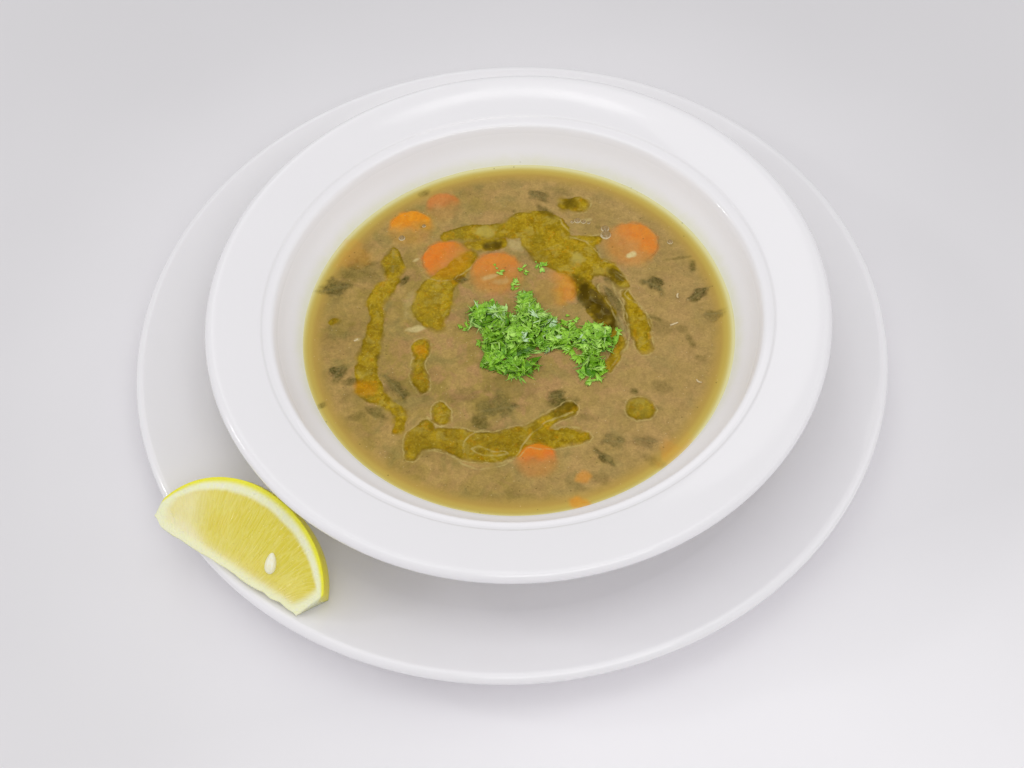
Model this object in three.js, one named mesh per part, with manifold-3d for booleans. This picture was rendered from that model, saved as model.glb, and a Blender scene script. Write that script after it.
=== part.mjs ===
// A bowl of chard lentil soup with carrot slices, olive oil and chopped parsley, standing on
// its underplate beside a wedge of lemon. Millimetres, +Z up. The origin is the middle of
// the underplate's foot, on the table.

import * as THREE from 'three';
import { mergeVertices } from 'three/addons/utils/BufferGeometryUtils.js';
import Module from 'manifold-3d';

const wasm = await Module();
wasm.setup();

// Clearance between pieces that touch
const GAP = 0.3;
// Flat sides of the dishes and the soup
const ROUND_SIDES = 48;

// Underplate
const PLATE_RADIUS = 149.7;
const PLATE_ROLL = 2.7;
const PLATE_ROLL_HEIGHT = 20;
const PLATE_SLOPE = 20.4;
const PLATE_WELL_TOP = 5.2;
const PLATE_WELL_RADIUS = 98;
const PLATE_BEND_RADIUS = 112;
const PLATE_FOOT_RADIUS = 83;
const PLATE_FOOT_WIDTH = 5;
const PLATE_FOOT_HEIGHT = 1.6;
const PLATE_THICKNESS = 4.6;

// Bowl, whose foot stands in the underplate's well a little off its middle
const BOWL_X = 3.5;
const BOWL_Y = -5.5;
const BOWL_RADIUS = 120;
const BOWL_ROLL = 2.75;
const BOWL_ROLL_HEIGHT = 49.4;
const BOWL_RIM_SLOPE = 11.4;
const BOWL_RIM_INNER_RADIUS = 98;
const BOWL_STEP_DROP = 2.7;
const BOWL_STEP_WIDTH = 1.9;
const BOWL_FOOT_RADIUS = 54;
const BOWL_FOOT_WIDTH = 4;
const BOWL_FOOT_HEIGHT = 3;
const BOWL_BASE_TOP = 12.5;
const BOWL_BASE_THICKNESS = 4.2;
const BOWL_WALL_THICKNESS = 5;
const BOWL_RIM_THICKNESS = 6.2;
const WALL_STEPS = 8;

// Soup
const SOUP_LEVEL = 33;
const SOUP_RADIUS = 84.2;
const OIL_HEIGHT = 0.4;
const OIL_DEPTH = 2;

// Carrot slices
const CARROT_THICKNESS = 3.4;
const CARROT_SIDES = 16;
const CARROT_CHAMFER = 0.5;
const CARROT_TWO_LOBES = 0.025;
const CARROT_THREE_LOBES = 0.015;

// Chard leaves
const LEAF_THICKNESS = 0.7;
const LEAF_LIFT = 0.5;
const LEAF_WAVE = 0.4;
const LEAF_SIDES = 10;

// Parsley
const PARSLEY_SINK = 0.6;
const PARSLEY_CLEARANCE = 0.9;
const SHRED_THICKNESS = 0.5;
const SHRED_SEED = 7;

// Lemon wedge
const LEMON_RADIUS = 32.9;
const LEMON_BLOSSOM_HALF = 36.5;
const LEMON_STEM_HALF = 40.7;
const LEMON_FULLNESS = 2.02;
const LEMON_BLOSSOM_TRIM = 35;
const LEMON_STEM_TRIM = 32.5;
const LEMON_TRIM_SLANT = 0.44;
const LEMON_WEDGE_ANGLE = 51;
const LEMON_PLACE = { x: -109, y: -100.4, z: 25.5 };
const LEMON_BEARING = -37.3;
const LEMON_PITCH = -3.6;
const LEMON_TILT = 30.4;
const LEMON_SIDES = 48;
const LEMON_RINGS = 14;
const SEED_LENGTH = 7.8;
const SEED_WIDTH = 4.3;
const SEED_DEPTH = 3.4;
const SEED_LIFT = 0.2;
const SEED_ALONG = 14.5;
const SEED_OUT = 11.5;
const SEED_TURN = 112;

// Olive oil on the soup, as strokes of [x, y, half width]
const OIL_STROKES = {
  left_leaf: [[-45, 38, 1.2], [-45.5, 32, 4.4], [-45, 26, 4.2]],
  left_top: [[-44, 22, 2], [-49, 18, 4], [-53, 11.5, 3.6], [-52, 3, 3.2], [-53.5, -6, 4],
    [-56, -15, 4.4]],
  left_low: [[-56, -15, 4.4], [-56, -24, 4.6], [-54.5, -31, 5], [-48, -36.5, 2.6],
    [-44, -42, 2.6], [-44.5, -50, 2.2]],
  carrot_side: [[-17, 31, 3.5], [-24, 27, 4.5], [-28, 19, 5], [-31, 8, 7.6], [-28.5, -2, 2.4]],
  two_lobes: [[-34.5, -12, 3.8], [-36, -20.5, 2.2], [-35.3, -26, 3.4], [-34.7, -32, 1.8]],
  small_drop: [[-28.2, -40, 2], [-28.2, -43.5, 3.8], [-27.5, -46.5, 2]],
  crescent_tail: [[-39.5, -60.5, 2.8], [-37, -54, 4.6], [-33.5, -48.5, 3]],
  crescent: [[-37, -54, 4.4], [-26, -55, 5], [-16, -58.5, 6.6], [-5, -59.5, 6.4],
    [5, -54.5, 4], [13.5, -48.4, 2.8], [21, -44.4, 3]],
  second_loop: [[4, -59.6, 1.5], [11, -57.6, 3.8], [19, -57.6, 4.3], [26.5, -57.6, 2]],
  round_pool: [[46.7, -46.5, 4.9], [48.3, -46.5, 4.9]],
  egg_pool: [[27.6, 56.2, 3.6], [31.6, 55.6, 4.4]],
  arch_left: [[-23, 43, 2.4], [-16, 44.4, 4], [-7, 44.4, 3.6], [2, 45, 4.8], [9, 47, 6.2]],
  arch_top: [[9, 47, 6.2], [16, 44, 9.6], [18, 36.5, 10], [23, 28, 7.6], [31, 20.5, 5.6]],
  arch_under: [[-14, 38, 2.4], [-7, 37.6, 3.2], [-1.8, 37.6, 2.8]],
  arch_fill: [[31, 34, 4.6], [34, 26, 4.6]],
  arch_nub: [[24, 35, 5], [31, 35.5, 3.6], [37.5, 36, 2.6]],
  arch_right: [[31, 26, 5], [36, 23, 5], [41, 20.5, 4], [46.5, 13, 2.4]],
  right_arm: [[47, 9, 1.3], [48.3, 2, 2.6], [50.8, -7, 4], [51.6, -17, 3.6], [51.8, -20, 2.4]],
  inner_arm: [[40.5, -9.5, 2.4], [43, -15, 2], [40, -21.5, 2.2], [36.5, -27.5, 1.8]],
  dot: [[-69.8, 3, 1.5], [-69.2, 3, 1.5]],
};

// Carrot slices: middle, radius, lean in degrees and the bearing of the edge that stands up
const CARROTS = [
  { x: 51.5, y: 33.3, radius: 10.8, lean: 4, bearing: 35, lift: 0.35 },
  { x: -38, y: 48.6, radius: 9, lean: 8, bearing: 95, lift: -0.25 },
  { x: -24.3, y: 59.2, radius: 7.2, lean: 5, bearing: 100, lift: -0.1 },
  { x: -23.6, y: 31, radius: 9.6, lean: 5, bearing: 135, lift: 0.25 },
  { x: -3.6, y: 22.6, radius: 10.4, lean: 6, bearing: 100, lift: -0.05 },
  { x: 19.3, y: 12.8, radius: 8.8, lean: 7, bearing: 10, lift: -0.3 },
  { x: 7.2, y: -66.6, radius: 7.4, lean: 7, bearing: 85, lift: -0.1 },
];

// Chard leaves: middle, length, width, bearing of the length, sideways bow and a corner count
const LEAVES = [
  { x: -69, y: 19.6, length: 13, width: 10, bearing: 10, bow: 0.5, corners: 4 },
  { x: -45.3, y: 32, length: 15, width: 9.4, bearing: 88, bow: 0.4, corners: 2 },
  { x: -18.5, y: 20.3, length: 6.8, width: 4.2, bearing: -4, bow: 0, corners: 4 },
  { x: 42.2, y: -1, length: 32, width: 5.4, bearing: -76, bow: 2.6, corners: 2 },
  { x: 34.6, y: 4, length: 21, width: 8.6, bearing: -62, bow: 0.6, corners: 4 },
  { x: 44, y: 17.4, length: 9, width: 5, bearing: -50, bow: 0.5, corners: 2 },
  { x: 58.4, y: 11.4, length: 10.4, width: 7, bearing: -35, bow: 1, corners: 3 },
  { x: 75.8, y: 5.6, length: 11.4, width: 4.6, bearing: 32, bow: 0.4, corners: 4 },
  { x: 80.4, y: -4.6, length: 9, width: 6.2, bearing: 0, bow: -0.6, corners: 3 },
  { x: 36, y: -60.4, length: 9.6, width: 6.4, bearing: -10, bow: 0.3, corners: 4 },
  { x: 48, y: -61, length: 10.4, width: 6, bearing: -12, bow: -0.8, corners: 3 },
  { x: 32.4, y: -67.6, length: 11.4, width: 3.6, bearing: -46, bow: 0.2, corners: 4 },
  { x: -45.2, y: -30, length: 14.6, width: 5.8, bearing: -56, bow: 0.4, corners: 2 },
  { x: -67.6, y: -21.4, length: 8.4, width: 7, bearing: 60, bow: 0, corners: 3 },
  { x: -6.4, y: -43, length: 18, width: 11, bearing: 4, bow: 1.2, corners: 5 },
  { x: 16.4, y: -38.2, length: 8, width: 4.8, bearing: 8, bow: 0.2, corners: 4 },
  { x: 15.2, y: 61.6, length: 10.4, width: 6, bearing: -22, bow: 0.4, corners: 4 },
];

// Mounds of the parsley heap: middle, half sizes and height over the soup
const MOUNDS = [
  { x: -9.4, y: 0.4, rx: 8, ry: 6, height: 4.6 },
  { x: 8.6, y: -3.4, rx: 7.2, ry: 6.6, height: 7.4 },
  { x: 7.6, y: 4.6, rx: 3.4, ry: 5.6, height: 4.4 },
  { x: 1, y: -11.4, rx: 12.4, ry: 9, height: 6 },
  { x: -6.2, y: -18.6, rx: 4.4, ry: 6.4, height: 2.8 },
  { x: 2.6, y: -25, rx: 7.4, ry: 5.6, height: 3.2 },
  { x: 19, y: -11.6, rx: 8, ry: 7, height: 3.4 },
  { x: 32.6, y: -13.8, rx: 8, ry: 7, height: 4.8 },
  { x: 30.6, y: -25, rx: 4.8, ry: 8, height: 3 },
];
const MOUND_SIDES = 10;
const SHREDS_PER_MOUND = 5;

function radians(degrees) {
  return THREE.MathUtils.degToRad(degrees);
}

// A repeatable run of numbers between 0 and 1
function seededDraw(seed) {
  let state = seed;
  return () => {
    state = (state + 0x6d2b79f5) | 0;
    let mixed = Math.imul(state ^ (state >>> 15), 1 | state);
    mixed = (mixed + Math.imul(mixed ^ (mixed >>> 7), 61 | mixed)) ^ mixed;
    return ((mixed ^ (mixed >>> 14)) >>> 0) / 4294967296;
  };
}

// A closed geometry as a solid that can be joined and cut
function solidOf(geometry) {
  const bare = geometry.clone();
  bare.deleteAttribute('normal');
  bare.deleteAttribute('uv');
  const merged = mergeVertices(bare, 1e-4);
  return new wasm.Manifold(new wasm.Mesh({
    numProp: 3,
    vertProperties: new Float32Array(merged.attributes.position.array),
    triVerts: new Uint32Array(merged.index.array),
  }));
}

function geometryOf(solid) {
  const mesh = solid.getMesh();
  const geometry = new THREE.BufferGeometry();
  geometry.setAttribute('position', new THREE.BufferAttribute(mesh.vertProperties, 3));
  geometry.setIndex(new THREE.BufferAttribute(mesh.triVerts, 1));
  return geometry;
}

function joined(solids) {
  return solids.reduce((whole, solid) => whole.add(solid));
}

// A solid turned round the vertical axis from [radius, height] points
function turned(profile, sides) {
  const points = profile.map(([radius, height]) => new THREE.Vector2(radius, height));
  const geometry = new THREE.LatheGeometry(points, sides);
  geometry.rotateX(Math.PI / 2);
  return geometry;
}

// Points round a rolled edge, from one bearing in degrees to another
function rollPoints(outerRadius, height, roll, from, to, steps) {
  const points = [];
  for (let step = 0; step <= steps; step += 1) {
    const angle = radians(from + (to - from) * step / steps);
    points.push([outerRadius - roll + roll * Math.cos(angle), height + roll * Math.sin(angle)]);
  }
  return points;
}

// Points on a quarter-like bend from one point to another, pulled towards a corner
function bendPoints(start, corner, end, steps) {
  const curve = new THREE.QuadraticBezierCurve(
    new THREE.Vector2(...start), new THREE.Vector2(...corner), new THREE.Vector2(...end));
  return curve.getPoints(steps).map((point) => [point.x, point.y]);
}

// The height of the underplate's sloping rim, along the line that meets the rolled edge
function plateRimHeight(radius) {
  const slope = radians(PLATE_SLOPE);
  const touchRadius = PLATE_RADIUS - PLATE_ROLL - PLATE_ROLL * Math.sin(slope);
  const touchHeight = PLATE_ROLL_HEIGHT + PLATE_ROLL * Math.cos(slope);
  return touchHeight - (touchRadius - radius) * Math.tan(slope);
}

// The underplate's section: foot, underside, rolled edge, rim, bend and well
function plateProfile() {
  const footInner = PLATE_FOOT_RADIUS - PLATE_FOOT_WIDTH;
  const underside = (radius) => plateRimHeight(radius) - PLATE_THICKNESS;
  const cornerRadius = PLATE_WELL_RADIUS + 7;
  return [
    [0, PLATE_FOOT_HEIGHT],
    [footInner - 1, PLATE_FOOT_HEIGHT],
    [footInner, 0],
    [PLATE_FOOT_RADIUS, 0],
    [PLATE_FOOT_RADIUS + 2, PLATE_FOOT_HEIGHT],
    ...bendPoints([PLATE_BEND_RADIUS - 12, 2], [PLATE_BEND_RADIUS - 3, 2.6],
      [PLATE_BEND_RADIUS + 8, underside(PLATE_BEND_RADIUS + 8)], 4),
    ...rollPoints(PLATE_RADIUS, PLATE_ROLL_HEIGHT, PLATE_ROLL, -80, 90 + PLATE_SLOPE, 6),
    ...bendPoints([PLATE_BEND_RADIUS + 6, plateRimHeight(PLATE_BEND_RADIUS + 6)],
      [cornerRadius, PLATE_WELL_TOP], [PLATE_WELL_RADIUS, PLATE_WELL_TOP], 4),
    [0, PLATE_WELL_TOP],
  ];
}

// The bowl's inside from its flat base up to the step under the rim
function bowlWallPoints() {
  const stepRadius = BOWL_RIM_INNER_RADIUS - BOWL_STEP_WIDTH;
  const stepHeight = bowlRimHeight(BOWL_RIM_INNER_RADIUS) - BOWL_STEP_DROP;
  const curve = new THREE.SplineCurve([
    new THREE.Vector2(40, BOWL_BASE_TOP),
    new THREE.Vector2(62, BOWL_BASE_TOP + 3.6),
    new THREE.Vector2(76, 23.4),
    new THREE.Vector2(SOUP_RADIUS, SOUP_LEVEL),
    new THREE.Vector2(90.4, 39.8),
    new THREE.Vector2(stepRadius, stepHeight),
  ]);
  return curve.getPoints(WALL_STEPS).map((point) => [point.x, point.y]);
}

// The height of the bowl's rim, along the line that meets its rolled edge
function bowlRimHeight(radius) {
  const slope = radians(BOWL_RIM_SLOPE);
  const touchRadius = BOWL_RADIUS - BOWL_ROLL - BOWL_ROLL * Math.sin(slope);
  const touchHeight = BOWL_ROLL_HEIGHT + BOWL_ROLL * Math.cos(slope);
  return touchHeight - (touchRadius - radius) * Math.tan(slope);
}

// The bowl's section: foot, outside, rolled edge, rim, step and inside
function bowlProfile() {
  const footBottom = PLATE_WELL_TOP + GAP;
  const footInner = BOWL_FOOT_RADIUS - BOWL_FOOT_WIDTH;
  const underside = BOWL_BASE_TOP - BOWL_BASE_THICKNESS;
  const wall = bowlWallPoints();
  const outward = BOWL_WALL_THICKNESS * Math.SQRT1_2;
  const outside = wall.slice(3, WALL_STEPS).map(([radius, height]) => [radius + outward, height - outward]);
  const underRim = BOWL_RIM_INNER_RADIUS + 6;
  return [
    [0, underside],
    [footInner - 0.8, underside],
    [footInner, footBottom],
    [BOWL_FOOT_RADIUS, footBottom],
    [BOWL_FOOT_RADIUS + 1.5, footBottom + BOWL_FOOT_HEIGHT],
    ...outside,
    [underRim, bowlRimHeight(underRim) - BOWL_RIM_THICKNESS],
    ...rollPoints(BOWL_RADIUS, BOWL_ROLL_HEIGHT, BOWL_ROLL, -96, 90 + BOWL_RIM_SLOPE, 6),
    [BOWL_RIM_INNER_RADIUS + 1, bowlRimHeight(BOWL_RIM_INNER_RADIUS + 1)],
    [BOWL_RIM_INNER_RADIUS, bowlRimHeight(BOWL_RIM_INNER_RADIUS) - 0.4],
    ...wall.reverse(),
    [0, BOWL_BASE_TOP],
  ];
}

// The soup's plain body, just inside the bowl's wall and flat on top
function soupBody() {
  const below = bowlWallPoints().filter(([, height]) => height < SOUP_LEVEL - 2);
  return turned([
    [0, BOWL_BASE_TOP + GAP],
    ...below.map(([radius, height]) => [radius - GAP, height + GAP]),
    [SOUP_RADIUS - 2 * GAP, SOUP_LEVEL],
    [0, SOUP_LEVEL],
  ], ROUND_SIDES);
}

// The outline of a stroke: a smooth middle line with a half width and round ends
function strokeOutline(stroke) {
  const middle = new THREE.CatmullRomCurve3(stroke.map((point) => new THREE.Vector3(...point)));
  // The point beside the middle line, at a turn in degrees from its direction
  const beside = (share, degrees) => {
    const { x, y, z: halfWidth } = middle.getPoint(share);
    const along = middle.getTangent(share);
    const angle = Math.atan2(along.y, along.x) + radians(degrees);
    return new THREE.Vector2(x + halfWidth * Math.cos(angle), y + halfWidth * Math.sin(angle));
  };
  const steps = 2 * (stroke.length - 1) + 1;
  const left = [];
  const right = [];
  for (let step = 0; step <= steps; step += 1) {
    left.push(beside(step / steps, 90));
    right.push(beside(1 - step / steps, -90));
  }
  const farEnd = [50, 0, -50].map((degrees) => beside(1, degrees));
  const nearEnd = [-130, 180, 130].map((degrees) => beside(0, degrees));
  return [...left, ...farEnd, ...right, ...nearEnd];
}

// A pool of oil, from well inside the soup to a little above it
function oilPool(stroke) {
  const shape = new THREE.Shape(strokeOutline(stroke));
  const pool = new THREE.ExtrudeGeometry(shape, { depth: OIL_DEPTH + OIL_HEIGHT, bevelEnabled: false });
  return pool.translate(0, 0, SOUP_LEVEL - OIL_DEPTH);
}

// Turns a disc so that its edge at a bearing stands up
function leaned(disc, lean, bearing) {
  const axis = new THREE.Vector3(Math.sin(radians(bearing)), -Math.cos(radians(bearing)), 0);
  return disc.applyMatrix4(new THREE.Matrix4().makeRotationAxis(axis, radians(lean)));
}

// A carrot slice, a slightly uneven disc that leans in the soup
function carrotSlice({ x, y, radius, lean, bearing, lift }) {
  const half = CARROT_THICKNESS / 2;
  const slice = turned([
    [0, -half],
    [radius - CARROT_CHAMFER, -half],
    [radius, -half + CARROT_CHAMFER],
    [radius, half - CARROT_CHAMFER],
    [radius - CARROT_CHAMFER, half],
    [0, half],
  ], CARROT_SIDES);
  const place = slice.attributes.position;
  for (let k = 0; k < place.count; k += 1) {
    const angle = Math.atan2(place.getY(k), place.getX(k));
    const lobes = CARROT_TWO_LOBES * Math.sin(2 * angle + x) + CARROT_THREE_LOBES * Math.sin(3 * angle + y);
    place.setX(k, place.getX(k) * (1 + lobes));
    place.setY(k, place.getY(k) * (1 + lobes));
  }
  return leaned(slice, lean, bearing).translate(x, y, SOUP_LEVEL + lift - CARROT_THICKNESS / 2);
}

// The hollow that a carrot slice leaves in the soup, which closes over its low side
function carrotHollow({ x, y, radius, lean, bearing, lift }) {
  const half = CARROT_THICKNESS / 2 + GAP;
  const edge = radius * (1 + CARROT_TWO_LOBES + CARROT_THREE_LOBES) + GAP;
  const hollow = turned([[0, -half], [edge, -half], [edge, half], [0, half]], CARROT_SIDES);
  return leaned(hollow, lean, bearing).translate(x, y, SOUP_LEVEL + lift - CARROT_THICKNESS / 2);
}

// The edge of a torn leaf as a share of its half length and half width
function leafEdge(angle, corners, phase) {
  const torn = 0.13 * Math.cos(corners * angle + phase);
  const ragged = 0.05 * Math.sin(5 * angle + 2 * phase);
  return 0.92 + torn + ragged;
}

// A place on a leaf, at a share of the way to its edge, as [x, y, height of the wave]
function leafPlace({ x, y, length, width, bearing, bow, corners }, angle, share, grow) {
  const turn = radians(bearing);
  const reach = share * leafEdge(angle, corners, x);
  const along = (reach * length / 2 + grow) * Math.cos(angle);
  const across = (reach * width / 2 + grow) * Math.sin(angle) + bow * (1 - (2 * along / length) ** 2);
  const wave = 0.22 * Math.sin(0.7 * along + x) + 0.18 * Math.cos(0.9 * across + y);
  return [
    x + along * Math.cos(turn) - across * Math.sin(turn),
    y + along * Math.sin(turn) + across * Math.cos(turn),
    wave,
  ];
}

// The hollow that a leaf leaves in the soup, open at the top
function leafHollow(leaf) {
  const shape = new THREE.Shape();
  for (let k = 0; k < LEAF_SIDES; k += 1) {
    const [x, y] = leafPlace(leaf, 2 * Math.PI * k / LEAF_SIDES, 1, GAP);
    shape[k === 0 ? 'moveTo' : 'lineTo'](x, y);
  }
  const hollow = new THREE.ExtrudeGeometry(shape, { depth: 3, bevelEnabled: false });
  return hollow.translate(0, 0, SOUP_LEVEL + LEAF_LIFT - LEAF_THICKNESS - LEAF_WAVE - GAP);
}

// A thin wavy leaf, both faces split alike
function chardLeaf(leaf) {
  const rings = [0.55, 1];
  const points = [];
  const addCorner = (angle, share, height) => {
    const [x, y, wave] = leafPlace(leaf, angle, share, 0);
    points.push(x, y, SOUP_LEVEL + wave + height);
  };
  for (const height of [LEAF_LIFT, LEAF_LIFT - LEAF_THICKNESS]) {
    addCorner(0, 0, height);
    for (const share of rings) {
      for (let k = 0; k < LEAF_SIDES; k += 1) {
        addCorner(2 * Math.PI * k / LEAF_SIDES, share, height);
      }
    }
  }
  const perFace = 1 + rings.length * LEAF_SIDES;
  const faces = [];
  const addBoth = (a, b, c) => {
    faces.push(a, b, c);
    faces.push(a + perFace, c + perFace, b + perFace);
  };
  for (let k = 0; k < LEAF_SIDES; k += 1) {
    const next = (k + 1) % LEAF_SIDES;
    const [inner, innerNext] = [1 + k, 1 + next];
    const [outer, outerNext] = [1 + LEAF_SIDES + k, 1 + LEAF_SIDES + next];
    addBoth(0, inner, innerNext);
    addBoth(inner, outer, outerNext);
    addBoth(inner, outerNext, innerNext);
    faces.push(outer, outer + perFace, outerNext + perFace);
    faces.push(outer, outerNext + perFace, outerNext);
  }
  const geometry = new THREE.BufferGeometry();
  geometry.setAttribute('position', new THREE.Float32BufferAttribute(points, 3));
  geometry.setIndex(faces);
  return geometry;
}

// A mound of the heap, its foot just under the soup's surface
function parsleyMound({ x, y, rx, ry, height }, index) {
  const mound = turned([
    [0, -PARSLEY_SINK],
    [1, -PARSLEY_SINK],
    [1, 0.2],
    [0.8, 0.55 * height],
    [0.4, 0.92 * height],
    [0, height],
  ], MOUND_SIDES);
  mound.rotateZ(index);
  mound.scale(rx, ry, 1);
  mound.translate(x, y, SOUP_LEVEL);
  return mound;
}

// The hollow that a mound leaves in the soup
function moundHollow({ x, y, rx, ry }, index) {
  const cut = PARSLEY_SINK + GAP;
  const hollow = turned([[0, -cut], [1, -cut], [1, 3], [0, 3]], MOUND_SIDES);
  hollow.rotateZ(index);
  hollow.scale(rx + GAP * 1.2, ry + GAP * 1.2, 1);
  hollow.translate(x, y, SOUP_LEVEL);
  return hollow;
}

// A chopped shred: a thin strip, bent along its length
function parsleyShred(length, width, bend) {
  const shred = new THREE.BoxGeometry(length, width, SHRED_THICKNESS, 2, 1, 1);
  const place = shred.attributes.position;
  for (let k = 0; k < place.count; k += 1) {
    const along = 2 * place.getX(k) / length;
    place.setZ(k, place.getZ(k) + bend * (1 - along * along));
  }
  return shred;
}

// The heap: its mounds with shreds standing out of them, clear of the soup's surface
function parsleyHeap() {
  const draw = seededDraw(SHRED_SEED);
  const shreds = [];
  for (const mound of MOUNDS) {
    for (let k = 0; k < SHREDS_PER_MOUND; k += 1) {
      const angle = 2 * Math.PI * (k + draw()) / SHREDS_PER_MOUND;
      const out = 0.3 + 0.6 * draw();
      const shred = parsleyShred(4.5 + 3 * draw(), 1.1 + 0.8 * draw(), 0.3 + 0.7 * draw());
      shred.rotateX(0.6 * (draw() - 0.5));
      shred.rotateY(0.9 * (draw() - 0.5));
      shred.rotateZ(2 * Math.PI * draw());
      shred.translate(
        mound.x + out * mound.rx * Math.cos(angle),
        mound.y + out * mound.ry * Math.sin(angle),
        SOUP_LEVEL + mound.height * (1 - 0.62 * out * out) + 0.2);
      shreds.push(solidOf(shred));
    }
  }
  const above = new THREE.BoxGeometry(120, 120, 30);
  above.translate(0, 0, SOUP_LEVEL + PARSLEY_CLEARANCE + 15);
  const standing = joined(shreds).intersect(solidOf(above));
  const whole = joined([...MOUNDS.map((mound, index) => solidOf(parsleyMound(mound, index))), standing]);
  return largestPiece(whole);
}

// The biggest connected piece of a solid, without loose scraps
function largestPiece(solid) {
  const pieces = solid.decompose();
  return pieces.reduce((best, piece) => (piece.volume() > best.volume() ? piece : best));
}

// The lemon's radius at a distance along its length from the middle
function lemonRadius(along) {
  const half = along < 0 ? LEMON_BLOSSOM_HALF : LEMON_STEM_HALF;
  return LEMON_RADIUS * Math.sqrt(Math.max(0, 1 - Math.abs(along / half) ** LEMON_FULLNESS));
}

// The wedge in its own frame: its core edge along X, its upper cut face in the XY plane
function lemonWedgeSolid() {
  const profile = [];
  for (let ring = 0; ring <= LEMON_RINGS; ring += 1) {
    const swing = -Math.cos(Math.PI * ring / LEMON_RINGS);
    const along = swing * (swing < 0 ? LEMON_BLOSSOM_HALF : LEMON_STEM_HALF);
    profile.push([lemonRadius(along), along]);
  }
  const fruit = turned(profile, LEMON_SIDES);
  fruit.rotateY(Math.PI / 2);
  const reach = 2 * LEMON_RADIUS;
  const low = radians(-LEMON_WEDGE_ANGLE);
  const section = new THREE.Shape([
    new THREE.Vector2(0, 0),
    new THREE.Vector2(reach * Math.cos(low), reach * Math.sin(low)),
    new THREE.Vector2(reach, 0),
  ]);
  const prism = new THREE.ExtrudeGeometry(section, {
    depth: LEMON_BLOSSOM_TRIM + LEMON_STEM_TRIM,
    bevelEnabled: false,
  });
  prism.translate(0, 0, -LEMON_BLOSSOM_TRIM);
  // The stem end is trimmed at a slant
  const place = prism.attributes.position;
  for (let k = 0; k < place.count; k += 1) {
    if (place.getZ(k) > 0) {
      place.setZ(k, place.getZ(k) + LEMON_TRIM_SLANT * place.getX(k));
    }
  }
  // The section's two directions become the wedge's Y and Z, and its depth the wedge's X
  prism.applyMatrix4(new THREE.Matrix4().makeBasis(
    new THREE.Vector3(0, 1, 0), new THREE.Vector3(0, 0, 1), new THREE.Vector3(1, 0, 0)));
  return solidOf(fruit).intersect(solidOf(prism));
}

// The seed, half sunk in the upper cut face, larger all round by grow
function lemonSeed(grow = 0) {
  const seed = new THREE.SphereGeometry(1, 8, 6);
  seed.scale(SEED_LENGTH / 2 + grow, SEED_WIDTH / 2 + grow, SEED_DEPTH / 2 + grow);
  seed.rotateZ(radians(SEED_TURN));
  seed.translate(SEED_ALONG, SEED_OUT, SEED_LIFT);
  return seed;
}

// Where the wedge lies: its lower cut face on the underplate's rim, its core edge over the rolled edge
function lemonPlacement() {
  const turn = new THREE.Matrix4().makeRotationZ(radians(LEMON_BEARING));
  const pitch = new THREE.Matrix4().makeRotationY(radians(-LEMON_PITCH));
  const tilt = new THREE.Matrix4().makeRotationX(radians(LEMON_TILT));
  const place = new THREE.Matrix4().makeTranslation(LEMON_PLACE.x, LEMON_PLACE.y, LEMON_PLACE.z);
  return place.multiply(turn).multiply(pitch).multiply(tilt);
}

function material(color, roughness) {
  return new THREE.MeshStandardMaterial({ color, roughness, metalness: 0 });
}

const glaze = material(0xe9e8ec, 0.15);
const soupColor = material(0xa58b47, 0.3);
const carrotColor = material(0xe0741e, 0.35);
const chardColor = material(0x55562f, 0.4);
const parsleyColor = material(0x4c9a2a, 0.5);
const lemonColor = material(0xe6dd4a, 0.35);
const seedColor = material(0xf2eed0, 0.4);

function named(name, geometry, look) {
  const mesh = new THREE.Mesh(geometry, look);
  mesh.name = name;
  return mesh;
}

function dishes() {
  const bowl = named('bowl', geometryOf(solidOf(turned(bowlProfile(), ROUND_SIDES))), glaze);
  bowl.position.set(BOWL_X, BOWL_Y, 0);
  const plate = named('underplate', geometryOf(solidOf(turned(plateProfile(), ROUND_SIDES))), glaze);
  return [bowl, plate];
}

function soup() {
  const body = solidOf(soupBody()).translate([BOWL_X, BOWL_Y, 0]);
  const oil = joined(Object.values(OIL_STROKES).map((stroke) => solidOf(oilPool(stroke))));
  const hollows = joined([
    ...CARROTS.map((slice) => solidOf(carrotHollow(slice))),
    ...LEAVES.map((leaf) => solidOf(leafHollow(leaf))),
    ...MOUNDS.map((mound, index) => solidOf(moundHollow(mound, index))),
  ]);
  return named('soup', geometryOf(largestPiece(body.add(oil).subtract(hollows))), soupColor);
}

function garnishes() {
  const slices = CARROTS.map((slice, index) => named(
    `carrot_${index + 1}`, geometryOf(solidOf(carrotSlice(slice))), carrotColor));
  const leaves = LEAVES.map((leaf, index) => named(
    `chard_${index + 1}`, geometryOf(solidOf(chardLeaf(leaf))), chardColor));
  return [...slices, ...leaves, named('parsley', geometryOf(parsleyHeap()), parsleyColor)];
}

function lemon() {
  const group = new THREE.Group();
  const wedge = lemonWedgeSolid().subtract(solidOf(lemonSeed(GAP)));
  group.add(named('lemon_wedge', geometryOf(wedge), lemonColor));
  group.add(named('lemon_seed', geometryOf(solidOf(lemonSeed())), seedColor));
  group.applyMatrix4(lemonPlacement());
  return group;
}

const bowlOfSoup = new THREE.Group();
bowlOfSoup.add(...dishes(), soup(), ...garnishes(), lemon());

export default bowlOfSoup;
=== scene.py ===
"""Looks for a bowl of chard lentil soup on its underplate, with a wedge of lemon.

Lengths are in millimetres up to the moment a mesh is made, and in metres after that.
+X is the viewer's right, +Y is away from the viewer and +Z is up.
"""

import math

import bpy
import numpy as np
from mathutils import Matrix, Vector


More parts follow.
